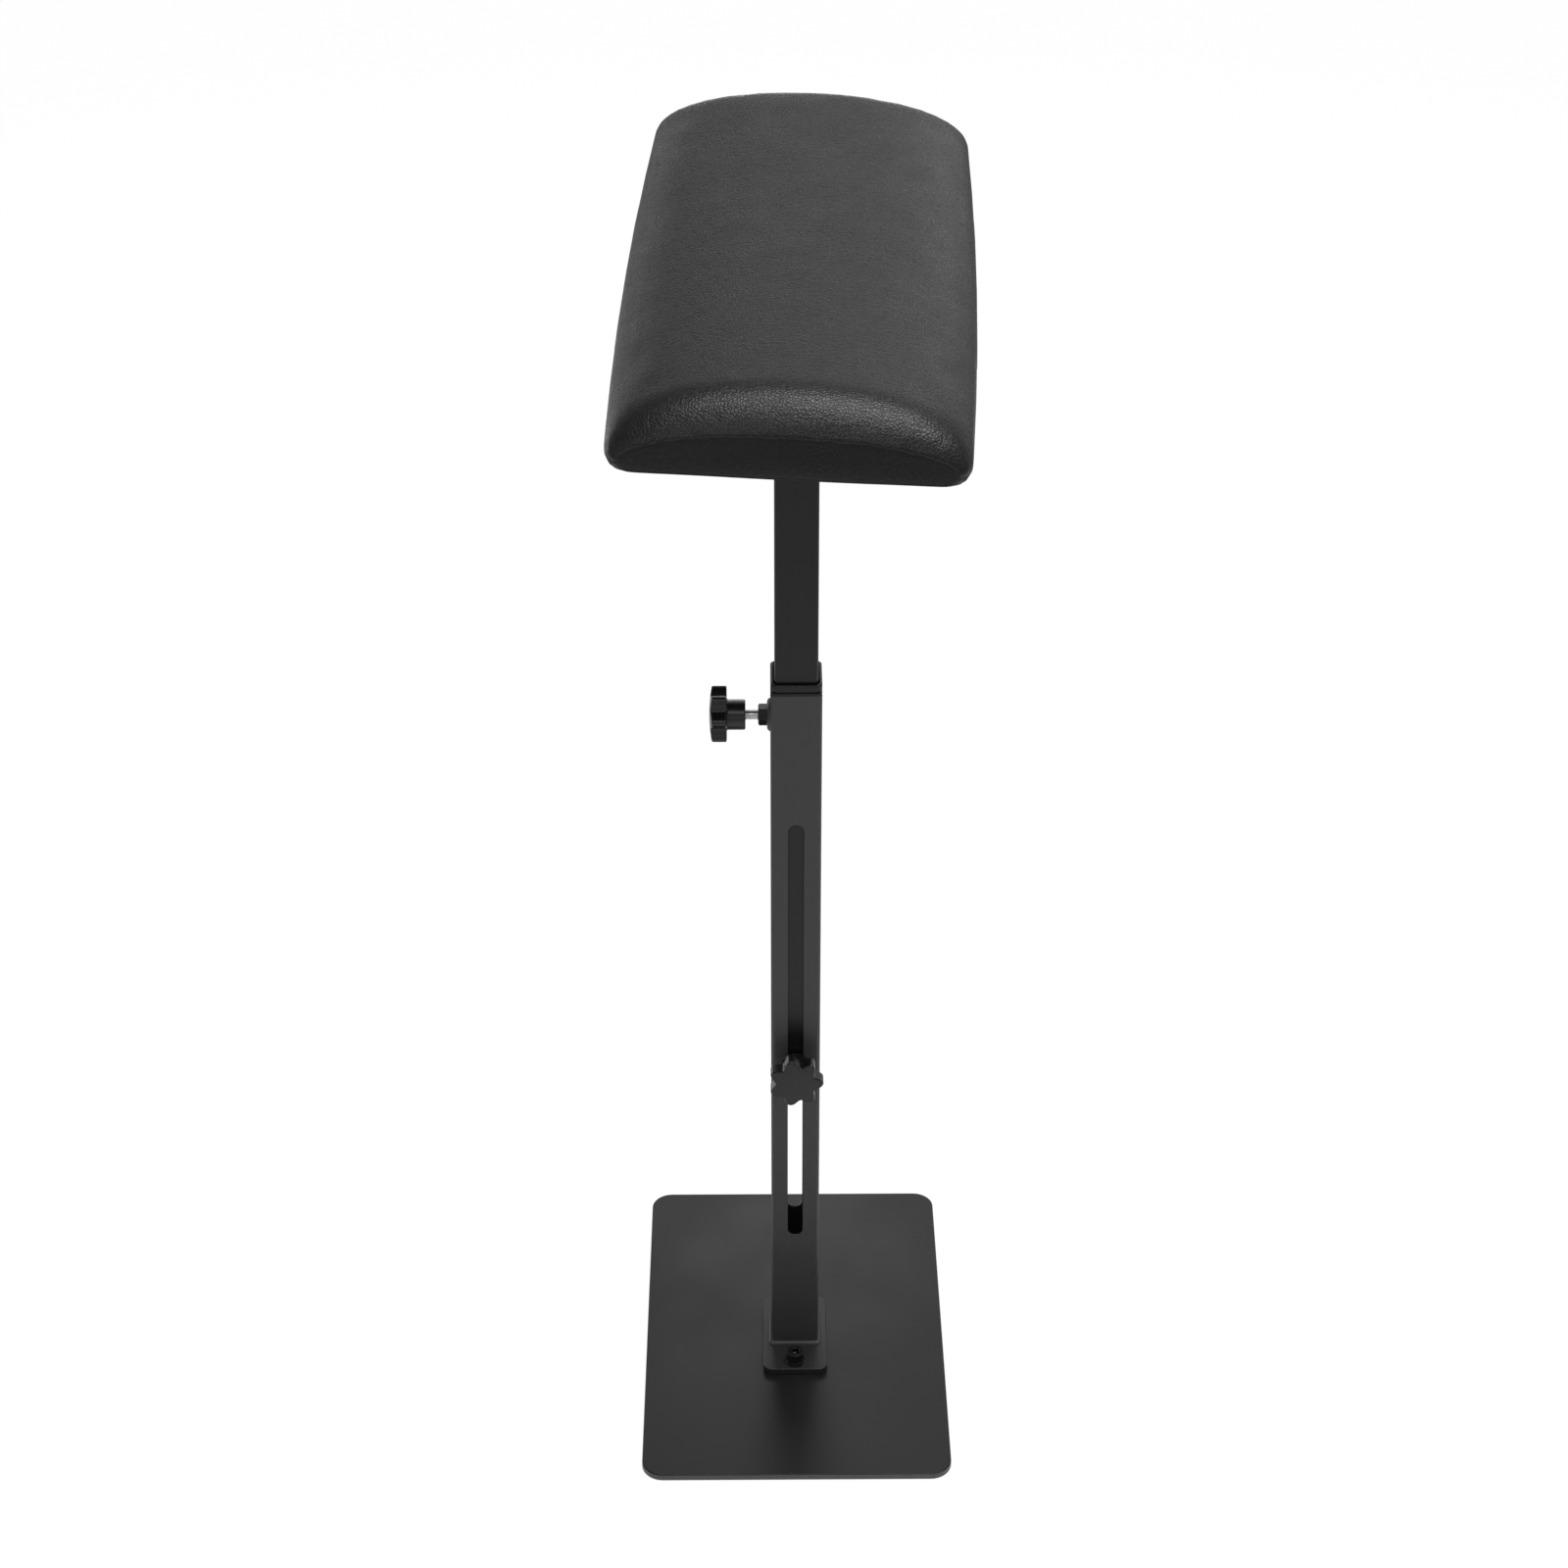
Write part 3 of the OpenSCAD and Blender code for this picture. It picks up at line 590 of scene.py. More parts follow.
def moulded_plastic(name, colour, roughness, specular):
    """Moulded thermoplastic with a fine spark-eroded texture and a soft sheen."""
    made, nodes = plain(name, colour, roughness, Specular_IOR_Level=specular)
    flow = nodes.noise(60)
    nodes.roughened(flow, roughness - 0.04, roughness + 0.05)
    nodes.tinted(flow, shaded(colour, 0.8), shaded(colour, 1.2))
    nodes.bumped(nodes.noise(3200), 0.02 * MM, 0.5)
    return made


def plated_metal(name, colour, roughness, metallic=1.0):
    """Bright zinc plate or black oxide, with fine tool marks."""
    made, nodes = plain(name, colour, roughness, Metallic=metallic)
    marks = nodes.noise(1800, 3.0)
    nodes.tinted(nodes.noise(90, 3.0), shaded(colour, 0.82), colour)
    nodes.roughened(marks, roughness - 0.06, roughness + 0.08)
    nodes.bumped(marks, 0.01 * MM, 0.4)
    return made


def leatherette(name):
    """Black leatherette: irregular pebbles with narrow grooves and fine pores, pulled into short
    creases where it rolls over the pad's two ends."""
    made, nodes = plain(name, grey(0.005), 0.3, Specular_IOR_Level=0.25)
    shift = nodes.add("ShaderNodeVectorMath", {"Scale": 0.8 * MM}, operation="SCALE")
    nodes.wire(nodes.noise(260, out="Color"), shift.inputs[0])
    warped = nodes.add("ShaderNodeVectorMath", operation="ADD")
    nodes.wire(nodes.where(), warped.inputs[0])
    nodes.wire(shift.outputs["Vector"], warped.inputs[1])
    cells = nodes.add("ShaderNodeTexVoronoi", {"Scale": 440, "Randomness": 0.95}, feature="DISTANCE_TO_EDGE")
    nodes.wire(warped.outputs["Vector"], cells.inputs["Vector"])
    pebble = nodes.mapped(cells.outputs["Distance"], 0.0, 0.34, 0.0, 1.0)
    rounded = nodes.plus(pebble, 0.5, "POWER")
    along = nodes.add("ShaderNodeSeparateXYZ")
    nodes.wire(nodes.where(), along.inputs["Vector"])
    end = nodes.mapped(nodes.plus(along.outputs["Y"], 0.0, "ABSOLUTE"), 0.205, 0.232, 0.0, 0.5)
    pulled = nodes.times(nodes.noise(620, stretch=(1, 0.16, 0.3)), end)
    wrinkles = nodes.noise(300, 1.0, (0.6, 1.3, 1))
    grain = nodes.plus(nodes.times(rounded, 0.6), nodes.times(nodes.noise(4200), 0.12))
    grain = nodes.plus(grain, nodes.times(wrinkles, 0.7))
    nodes.tinted(rounded, grey(0.0008, 0.0001), grey(0.0075, 0.0003))
    groove = nodes.mapped(rounded, 0.0, 0.8, 0.22, 0.0)
    sheen = nodes.mapped(nodes.noise(34), 0.3, 0.7, 0.26, 0.32)
    nodes.wire(nodes.plus(sheen, groove), nodes.shader.inputs["Roughness"])
    nodes.bumped(nodes.plus(grain, pulled), 0.26 * MM)
    return made


def rubber(name):
    """Matt rubber sheet with a fine grain."""
    made, nodes = plain(name, grey(0.018), 0.85, Specular_IOR_Level=0.25)
    grain = nodes.noise(900, 4.0)
    nodes.tinted(grain, grey(0.012), grey(0.024))
    nodes.bumped(grain, 0.08 * MM, 0.6)
    return made


def nylon(name):
    """Natural nylon with a waxy, slightly mottled face."""
    made, nodes = plain(name, (0.72, 0.7, 0.64), 0.42)
    nodes.tinted(nodes.noise(160, 3.0), (0.66, 0.64, 0.57), (0.76, 0.74, 0.68))
    nodes.bumped(nodes.noise(1500), 0.02 * MM, 0.4)
    return made


def plywood(name):
    """Sanded plywood: long grain along Y and darker layers through its thickness."""
    made, nodes = plain(name, (0.5, 0.35, 0.2), 0.62)
    grain = nodes.noise(4, 6.0, (60, 4, 60), 0.6)
    layers = nodes.texture("ShaderNodeTexWave", "Fac", {"Scale": 75, "Distortion": 0.6, "Detail": 2.0},
                           wave_type="BANDS", bands_direction="Z")
    both = nodes.plus(nodes.times(grain, 0.7), nodes.times(layers, 0.3))
    nodes.tinted(both, (0.3, 0.18, 0.09), (0.62, 0.46, 0.28))
    nodes.bumped(grain, 0.1 * MM, 0.5)
    return made


def foam(name):
    """Dense grey upholstery foam with open cells."""
    made, nodes = plain(name, grey(0.33, 0.01), 0.95, Specular_IOR_Level=0.1)
    cells = nodes.texture("ShaderNodeTexVoronoi", "Distance", {"Scale": 900})
    nodes.tinted(cells, grey(0.42, 0.01), grey(0.2, 0.01))
    nodes.bumped(cells, 0.5 * MM, 0.7)
    return made


def matted_cloth(name):
    """Black non-woven cloth of matted fibres, bonded in a grid of dots."""
    made, nodes = plain(name, grey(0.02), 0.9, Specular_IOR_Level=0.2, Sheen_Weight=0.15)
    fibres = nodes.plus(nodes.noise(700, 4.0, (1, 5, 1)), nodes.noise(700, 4.0, (5, 1, 1)))
    dots = nodes.texture("ShaderNodeTexVoronoi", "Distance", {"Scale": 520, "Randomness": 0.15})
    bond = nodes.mapped(dots, 0.15, 0.35, 0, 1)
    nodes.tinted(nodes.mapped(fibres, 0.7, 1.3, 0, 1), grey(0.008), grey(0.035, 0.001))
    nodes.bumped(nodes.times(fibres, bond), 0.15 * MM, 0.7)
    return made


# Each finish is the record's material slot and the surface that is seen

# Painted highlight: the base plate's side faces get a much lighter coat than its top, so that they look lit
base_side_painted_highlight_coat = powder_coat("base side painted highlight coat", grey(0.075, 0.001), grey(0.09, 0.001), 0.38, 0.36)
base_coat = "base_coat", powder_coat("base powder coat", grey(0.009, 0.0005), grey(0.012, 0.0005), 0.34, 0.28)
tube_coat = "tube_coat", powder_coat("tube powder coat", grey(0.039, 0.001), grey(0.044, 0.001), 0.46, 0.42)
foot_coat = "tube_coat", powder_coat("foot powder coat", grey(0.018), grey(0.022, 0.0005), 0.38, 0.36)
nut_coat = "tube_coat", powder_coat("gloss black coat", grey(0.003), grey(0.005), 0.2, 0.5)
mast_coat = "mast_coat", powder_coat("mast powder coat", grey(0.0045), grey(0.007, 0.0005), 0.34, 0.34)
knob_plastic = "black_plastic", moulded_plastic("black knob plastic", grey(0.006), 0.29, 0.43)
bush_plastic = "black_plastic", moulded_plastic("black bush plastic", grey(0.003), 0.3, 0.34)
bright_zinc = "zinc", plated_metal("bright zinc", (0.72, 0.73, 0.74), 0.28)
black_oxide = "black_steel", plated_metal("black oxide", grey(0.012), 0.34, 0.4)
mat_rubber = "rubber", rubber("mat rubber")
white_nylon = "nylon", nylon("natural nylon")
board_ply = "plywood", plywood("sanded plywood")
pad_foam_grey = "foam", foam("pad foam")
pad_leather = "leatherette", leatherette("black leatherette")
under_cloth = "felt", matted_cloth("dust cloth")


def fit(piece, where, body, finish, *nodes):
    """Set a piece in its place, give it its body and the surface of its finish, and hide the CAD nodes it
    stands for.
    """
    slot, surface = finish
    settle(piece, where)
    piece.data.materials.clear()
    piece.data.materials.append(surface)
    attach(piece, body)
    if nodes:
        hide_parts(*nodes)
    return piece


def fit_plate(name, node, where, body, finish, corner, hole, places, rim, corner_steps=10, rim_steps=3):
    """Flat plate over its CAD node's box, with rounded corners, round holes and broken edges."""
    low, high = box_in(where, node)
    plate = slab(name, low, high, corner, corner_steps=corner_steps)
    for at in places:
        cut(plate, settle(rod(hole, low.z - MM, high.z + MM), at))
    return fit(soften(plate, rim, rim_steps), where, body, finish, node)


def fit_washer(name, node, where, body, finish, bore, edge=0.25 * MM, sides=64):
    low, high = box_in(where, node)
    fit(ring(name, high.x, bore, low.z, high.z, edge, sides), where, body, finish, node)


def fit_nut(name, node, where, body, finish, flats=14 * MM, hole=M8_HOLE):
    low, high = box_in(where, node)
    fit(hex_nut(name, flats, low.z, high.z, hole), where, body, finish, node)


# Base

def foot_screw_places():
    """Places of the two foot screws, at the floor."""
    points = [v.co.y for v in frame["nodes"]["foot_flat_washers"].data.vertices]
    ends = [y for y in points if y < 0], [y for y in points if y > 0]
    return [Matrix.Translation((0, (min(end) + max(end)) / 2, 0)) for end in ends]


def model_base():
    """Mat, base plate, foot flange and the weld bead round the foot of the tube."""
    mat = slab("anti_slip_mat", *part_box("floor_mat"), 13 * MM, 0.6 * MM)
    fit(smooth(mat), HERE, "stand", mat_rubber, "floor_mat")
    screws = foot_screw_places()
    plate = fit_plate("steel_base", "base_plate", HERE, "stand", base_coat, 17 * MM, M8_HOLE, screws, MM,
                      16, 4)
    # Every side face of the base plate takes the lighter coat, a painted highlight along its rim
    plate.data.materials.append(base_side_painted_highlight_coat)
    for face in plate.data.polygons:
        face.material_index = int(abs(face.normal.z) < 0.5)
    fit_plate("foot_flange_plate", "foot_flange", HERE, "stand", foot_coat, 7 * MM, STUD_HOLE, screws,
              0.6 * MM, 12)
    low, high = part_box("foot_weld")
    bead = square_bead("foot_weld_bead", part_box("outer_tube")[1].x, TUBE_CORNER, high.z - low.z, low.z)
    fit(bead, HERE, "stand", tube_coat, "foot_weld")


def socket_screw(name, head_radius, head_height, socket, depth, shank_radius, shank_length):
    """Socket head screw with a knurled head that stands on z = 0."""
    edge = 0.7 * MM
    screw = turned(name, [
        (shank_radius * 0.7, -shank_length), (shank_radius, -shank_length + shank_radius * 0.3),
        (shank_radius, 0), (head_radius - 0.3 * MM, 0), (head_radius, 0.3 * MM), (head_radius, edge),
        (head_radius, head_height - 1.6 * MM), (head_radius, head_height - edge),
        (head_radius - edge * 0.3, head_height - edge * 0.3), (head_radius - edge, head_height)], sides=96)
    edit(screw)
    choose(screw, "VERT", lambda v: 0.5 * MM < v.co.z < head_height - 1.2 * MM
           and cos(48 * atan2(v.co.y, v.co.x)) < 0 and v.co.xy.length > head_radius * 0.9)
    grow(0.965, 0.965, 0)
    leave()
    cut(screw, hexagon("recess", socket, head_height - depth, head_height + MM))
    mouth = [(socket * 0.5, head_height - 0.5 * MM), (socket * 0.62, head_height + 0.1 * MM)]
    cut(screw, turned("mouth", mouth))
    drill = [(0.3 * MM, head_height - depth - socket * 0.3), (socket * 0.5, head_height - depth + TINY)]
    cut(screw, turned("drill", drill, sides=32))
    return smooth(screw, FINE_ANGLE)


def model_foot_screws():
    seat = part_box("foot_spring_washers")[1].z
    low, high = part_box("foot_screws")
    first = socket_screw("foot_socket_screws", 6.5 * MM, high.z - seat, 6 * MM, 4 * MM, M8, seat - low.z)
    places = [at @ Matrix.Translation((0, 0, seat)) for at in foot_screw_places()]
    fit(copies(first, places), HERE, "stand", black_oxide, "foot_screws")


def model_foot_washers():
    radius = 7.4 * MM
    low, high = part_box("foot_spring_washers")
    first = split_ring("foot_split_washers", radius, M8_HOLE, low.z, high.z)
    fit(copies(first, foot_screw_places()), HERE, "stand", black_oxide, "foot_spring_washers")
    low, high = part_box("foot_flat_washers")
    first = ring("foot_plain_washers", radius, M8_HOLE, low.z, high.z, 0.2 * MM)
    fit(copies(first, foot_screw_places()), HERE, "stand", black_oxide, "foot_flat_washers")


# Tubes

def square_tube(name, half, corner, low, high):
    """Welded square tube on the z axis, open at both ends."""
    tube = slab(name, (-half, -half, low), (half, half, high), corner)
    edit(tube)
    choose(tube, "FACE", lambda f: abs(f.normal.z) > 0.9)
    bpy.ops.mesh.delete(type="FACE")
    leave()
    return modify(tube, "SOLIDIFY", thickness=TUBE_WALL, offset=-1, use_even_offset=True)


def model_outer_tube():
    low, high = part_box("outer_tube")
    tube = square_tube("outer_square_tube", high.x, TUBE_CORNER, low.z, high.z)
    half, slot_foot, slot_length = 6 * MM, low.z + 114 * MM, 391 * MM
    reach = slot_length / 2
    through = high.y + MM
    slot = slab("slot", (-half, -reach, -through), (half, reach, through), half * 0.999, corner_steps=16)
    cut(tube, settle(slot, place((0, 0, slot_foot + reach), (0, -1, 0), (1, 0, 0))))
    cut(tube, settle(rod(STUD_HOLE, 10 * MM, 22 * MM), LEFT))
    fit(soften(tube, 0.35 * MM), HERE, "stand", tube_coat, "outer_tube")


def model_bush():
    low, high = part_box("tube_bush")
    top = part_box("outer_tube")[1].z
    half, sleeve, crown = high.x, 17.4 * MM, 1.3 * MM
    neck = half - 1.2 * MM
    lips = [(half, 0), (half, 1.9), (half - 0.15 * MM, 2.2), (half - 0.4 * MM, 2.3), (neck, 2.5), (neck, 4.4),
            (half - 0.4 * MM, 4.6), (half - 0.15 * MM, 4.7), (half, 5)]
    profile = [(sleeve - 0.6 * MM, low.z), (sleeve, low.z + 1.2 * MM), (sleeve, top)]
    profile += [(radius, top + height * MM) for radius, height in lips]
    profile += [(half - crown * (1 - cos(a)), high.z - crown + crown * sin(a))
                for a in map(radians, (0, 22, 45, 68, 90))]
    bush = squared("mast_guide_bush", profile, 3.6 * MM)
    bore, mouth = 16.25 * MM, 17.15 * MM
    profile = [(bore, low.z - MM), (bore, high.z - 1.4 * MM), (mouth, high.z - 0.5 * MM),
               (mouth, high.z + MM)]
    cut(bush, squared("bore", profile, 2.75 * MM))
    fit(soften(bush, 0.3 * MM, 2, 50), HERE, "stand", bush_plastic, "tube_bush")


def model_mast():
    low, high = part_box("mast_tube")
    mast = square_tube("mast_square_tube", high.y, MAST_CORNER, low.z, high.z + 3 * MM)
    cut(mast, settle(slab("above", (-40 * MM, -40 * MM, 0), (40 * MM, 40 * MM, 20 * MM), MM), HEAD))
    cut(mast, settle(rod(STUD_HOLE, 10 * MM, 20 * MM), FRONT))
    fit(soften(mast, 0.3 * MM), HERE, "mast", mast_coat, "mast_tube")


def model_foot_plug():
    low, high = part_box("mast_foot_plug")
    mast_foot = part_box("mast_tube")[0].z
    head, body, edge = high.x, 14.4 * MM, 0.6 * MM
    profile = [(head - 2 * edge, low.z), (head, low.z + 2 * edge), (head, mast_foot - edge),
               (head - edge, mast_foot), (body, mast_foot), (body, high.z - 3 * edge), (body - edge, high.z)]
    plug = squared("mast_glide_plug", profile, 1.6 * MM)
    fit(smooth(plug), HERE, "mast", bush_plastic, "mast_foot_plug")


# Clamp knobs

KNOB_LOBES = 7
STAR_STEPS = 24


def star_knob(name):
    """Seven-lobed knob. Its hub starts at z = 0, and a lobe points along +X."""
    mean, wave = 18.6 * MM, 2.8 * MM
    hub, hub_length, head = 11.3 * MM, 13.7 * MM, 13 * MM
    foot_edge, rim, crown = 1.0 * MM, 1.5 * MM, 115 * MM
    top = hub_length + head

    def drop(radius):
        """How far the crown lies below its middle."""
        return crown - sqrt(crown ** 2 - radius ** 2)

    shoulder = top - drop(mean - rim) - rim
    profile = [(mean - foot_edge * (1 - sin(a)), hub_length + foot_edge * (1 - cos(a)))
               for a in map(radians, range(0, 91, 30))]
    profile += [(mean - rim * (1 - cos(a)), shoulder + rim * sin(a))
                for a in map(radians, range(0, 91, 18))]
    inner = [(mean - rim) * tenths / 10 for tenths in range(9, 0, -1)]
    profile += [(radius, top - drop(radius)) for radius in inner]
    star = turned(name, profile, KNOB_LOBES * STAR_STEPS)
    edit(star)
    for step in range(STAR_STEPS // 2 + 1):
        swing = cos(tau * step / STAR_STEPS)
        for radius, level in profile:
            choose(star, "VERT", lambda v: abs(v.co.z - level) + abs(v.co.xy.length - radius) < TINY / 5
                   and abs(cos(KNOB_LOBES * atan2(v.co.y, v.co.x)) - swing) < 1e-3)
            fade = min(1, radius / (mean - rim)) ** 2
            factor = 1 + wave * swing * fade / mean
            grow(factor, factor, level)
            if level > shoulder - TINY:
                bpy.ops.transform.translate(value=(0, 0, drop(radius) - drop(radius * factor)))
    leave()
    stem = turned("stem", [(hub - 0.8 * MM, 0), (hub, 0.8 * MM), (hub, hub_length - 1.2 * MM),
                           (hub + 0.4 * MM, hub_length - 0.3 * MM), (hub + 1.2 * MM, hub_length),
                           (hub + 1.2 * MM, hub_length + MM), (hub - MM, hub_length + 2 * MM)], sides=96)
    cut(star, stem, "UNION")
    cut(star, turned("socket", [(4.6 * MM, -TINY), (M8_HOLE, 0.6 * MM), (M8_HOLE, 16.1 * MM)], sides=48))
    return smooth(star, radians(45))


def model_knobs():
    """Three knobs of one kind, each with its threaded stud, and the washers of two of them."""
    first = star_knob("side_clamp_knob")
    knobs = [first, twin(first, "front_clamp_knob"), twin(first, "tilt_clamp_knob")]
    clamps = ("side", LEFT, SIDE_KNOB_TURN), ("front", FRONT, 0), ("tilt", TILT, 0)
    for knob, (clamp, where, turn) in zip(knobs, clamps):
        hub = box_in(where, clamp + "_knob")[0].z
        at = where @ Matrix.Translation((0, 0, hub)) @ Matrix.Rotation(turn, 4, "Z")
        fit(knob, at, clamp + "_knob", knob_plastic, clamp + "_knob")
    for clamp, where, turn in clamps:
        low, high = box_in(where, clamp + "_stud")
        stud = threaded(clamp + "_threaded_stud", M8, low.z, high.z, 1.25 * MM)
        fit(stud, where, clamp + "_screw", bright_zinc, clamp + "_stud")
    for clamp, where, turn in clamps[1:]:
        fit_washer(clamp + "_plain_washer", clamp + "_washer", where, clamp + "_screw", bright_zinc, M8_HOLE)


def model_nuts():
    side = LEFT @ Matrix.Rotation(SIDE_NUT_TURN, 4, "Z")
    fit_nut("side_hex_nut", "side_weld_nut", side, "stand", nut_coat)
    fit_nut("front_hex_nut", "clamp_weld_nut", FRONT, "mast", bright_zinc)
    fit_nut("tilt_hex_nut", "tilt_weld_nut", TILT, "pad", mast_coat)
    low, high = box_in(LEFT, "side_nut_weld")
    reach, rise = high.x, high.z - low.z
    inner, crest = 6.9 * MM, 8.8 * MM
    profile = [(inner, low.z), (reach, low.z)]
    profile += [(reach - (reach - crest) * share, low.z + rise * sqrt(1 - (1 - share) ** 2))
                for share in (0.06, 0.2, 0.4, 0.65, 0.85, 1)]
    profile += [(inner, high.z), (inner, low.z)]
    bead = turned("side_nut_bead", profile, sides=144, closed=False)
    edit(bead)
    choose(bead, "VERT", lambda v: v.co.z > low.z + 0.2 * rise and v.co.xy.length > 8 * MM
           and cos(36 * atan2(v.co.y, v.co.x)) > 0)
    grow(1.012, 1.012, 0)
    leave()
    fit(smooth(bead), LEFT, "stand", tube_coat, "side_nut_weld")


# Head

def model_head():
    fit_plate("mast_cap", "mast_cap_plate", HEAD, "mast", mast_coat, 7 * MM, 5.5 * MM, [HERE], 0.5 * MM)
    bead = square_bead("mast_cap_bead", 16 * MM, MAST_CORNER, 2.5 * MM, 0)
    fit(bead, HEAD @ Matrix.Rotation(pi, 4, "X"), "mast", mast_coat, "mast_cap_weld")

    flats = 17 * MM
    fit_nut("swivel_hex_nut", "swivel_nut", HEAD, "mast", bright_zinc, flats, M10_HOLE)
    low, high = box_in(HEAD, "swivel_bolt")
    seat = box_in(HEAD, "swivel_spring_washer")[1].z
    head = hex_nut("swivel_hex_bolt", flats, seat + 0.3 * MM, high.z, 0, (False, True))
    cut(head, turned("face", [(8.1 * MM, seat), (8.1 * MM, seat + 0.6 * MM)]), "UNION")
    shank = threaded("shank", M10, low.z, seat + 0.1 * MM, 1.5 * MM)
    fit(joined("swivel_hex_bolt", [head, shank]), HEAD, "mast", bright_zinc, "swivel_bolt")

    fit_washer("swivel_plain_washer", "swivel_flat_washer", HEAD, "mast", bright_zinc, M10_HOLE)
    low, high = box_in(HEAD, "swivel_spring_washer")
    washer = split_ring("swivel_split_washer", high.y, M10_HOLE, low.z, high.z)
    fit(washer, HEAD, "mast", bright_zinc, "swivel_spring_washer")


def model_swivel():
    fit_washer("swivel_glide_ring", "swivel_glide_washer", SWIVEL, "swivel", white_nylon, M10_HOLE,
               0.3 * MM, 96)

    low, high = box_in(SWIVEL, "swivel_bracket")
    ears_at = sum(corner.z for corner in box_in(SWIVEL, "friction_washers")) / 2
    bracket = fork("swivel_fork", high.x, high.y - low.y, low.z + HEAD_PLATE / 2, ears_at)
    cut(bracket, rod(M10_HOLE, low.z - MM, low.z + 8 * MM))
    fit(soften(bracket, 0.45 * MM), SWIVEL, "swivel", mast_coat, "swivel_bracket")

    low, high = box_in(TILT, "friction_washers")
    slack = 0.04 * MM
    thick = 1 * MM - slack
    rings = [ring("tilt_friction_ring", high.x, M8_HOLE, start, start + thick, 0.2 * MM)
             for start in (low.z + slack, high.z - thick - slack)]
    fit(joined("tilt_friction_rings", rings), TILT, "swivel", white_nylon, "friction_washers")


def model_yoke():
    low, high = box_in(PIVOT, "tilt_yoke")
    yoke = fork("tilt_fork", high.x, high.y - low.y, high.z - HEAD_PLATE / 2, 0.0)
    fit(soften(yoke, 0.45 * MM), PIVOT, "pad", mast_coat, "tilt_yoke")

    low, high = box_in(PIVOT, "yoke_welds")
    leg = high.z - low.z
    beads = []
    for side in (-1, 1):
        inner = side * (high.y - leg)
        near, far = sorted((inner - side * 0.1 * MM, inner + side * leg))
        corners = (low.x + 5 * MM, near, high.z - leg), (high.x - 5 * MM, far, high.z)
        bead = slab("yoke_bead", *corners, 0.6 * MM, corner_steps=3)
        edit(bead)
        choose(bead, "EDGE", lambda e: all(abs(v.co.z - high.z + leg) < TINY for v in e.verts)
               and abs((e.verts[0].co.y + e.verts[1].co.y) / 2 - inner) > leg * 0.6)
        bpy.ops.mesh.bevel(offset=leg * 0.8, segments=5, affect="EDGES")
        choose(bead, "EDGE", lambda e: abs(e.verts[0].co.x - e.verts[1].co.x) > 20 * MM)
        bpy.ops.mesh.subdivide(number_cuts=40)
        choose(bead, "VERT", lambda v: v.co.z < high.z - 0.3 * leg and cos(v.co.x / (0.35 * MM)) > 0)
        bpy.ops.transform.resize(value=(1, 1, 1.06), center_override=(0, inner, high.z))
        leave()
        beads.append(outward(bead))
    fit(smooth(joined("yoke_weld_beads", beads)), PIVOT, "pad", mast_coat, "yoke_welds")


# Pad

def pad_screw_places():
    """Places of the four pad screws in the pad's own axes."""
    low, high = box_in(PAD, "pad_screws")
    radius = 5.5 * MM
    return [Matrix.Translation((x, y, 0)) for x in (low.x + radius, high.x - radius)
            for y in (low.y + radius, high.y - radius)]


def model_pad_plate():
    screws = pad_screw_places()
    fit_plate("pad_steel_plate", "pad_plate", PAD, "pad", mast_coat, 7 * MM, 3.5 * MM, screws, 0.5 * MM)


def model_pad_screws():
    low, high = box_in(PAD, "pad_screws")
    seat = box_in(PAD, "pad_plate")[0].z
    rise, head = seat - low.z, 5.5 * MM
    first = turned("pad_button_screws", [
        (head * 0.5, low.z), (head * 0.72, low.z + rise * 0.12), (head * 0.9, low.z + rise * 0.36),
        (head, low.z + rise * 0.75), (head, seat - 0.2 * MM), (head - 0.2 * MM, seat), (M6, seat),
        (M6, high.z - MM), (2.4 * MM, high.z)], sides=48)
    cut(first, hexagon("recess", 4 * MM, low.z - MM, low.z + 1.9 * MM))
    smooth(first, FINE_ANGLE)
    fit(copies(first, pad_screw_places()), PAD, "pad", bright_zinc, "pad_screws")


def model_tee_nuts():
    low, high = box_in(PAD, "tee_nuts")
    flange, barrel, bore = 9.5 * MM, 4 * MM, M6_HOLE
    under = high.z - 1.5 * MM
    edge = 0.3 * MM
    first = turned("pad_tee_nuts", [
        (bore, low.z + 0.4 * MM), (bore + 0.4 * MM, low.z), (barrel, low.z), (barrel, under - 0.5 * MM),
        (barrel + 0.5 * MM, under), (flange - edge, under), (flange, under + edge), (flange, high.z - edge),
        (flange - edge, high.z), (bore + MM, high.z), (bore, high.z - MM), (bore, low.z + 0.4 * MM)],
        sides=48, closed=False)
    smooth(first, FINE_ANGLE)
    fit(copies(first, pad_screw_places()), PAD, "pad", bright_zinc, "tee_nuts")


def model_board():
    screws = pad_screw_places()
    fit_plate("pad_plywood_board", "pad_board", PAD, "pad", board_ply, 12 * MM, 4.1 * MM, screws,
              0.6 * MM, rim_steps=2)


def roll_down(piece):
    """Roll the top of the pad down towards its front end, as far as the photograph shows it."""
    low, high = box_in(PAD, "pad_cover")
    rise, edge = high.z - low.z, 14 * MM
    radius, slope = 43 * MM, radians(60)
    for vertex in piece.data.vertices:
        back = max(vertex.co.y - low.y, 0)
        if back < radius * sin(slope):
            turn = asin(sin(slope) - back / radius)
            wanted = rise - radius * (1 - cos(turn))
            given = rise - edge + sqrt(edge ** 2 - max(edge - back, 0) ** 2)
            vertex.co.z *= wanted / given


def fatten(piece, amount):
    """Move a whole surface outwards."""
    edit(piece)
    take_all()
    bpy.ops.transform.shrink_fatten(value=amount)
    leave()


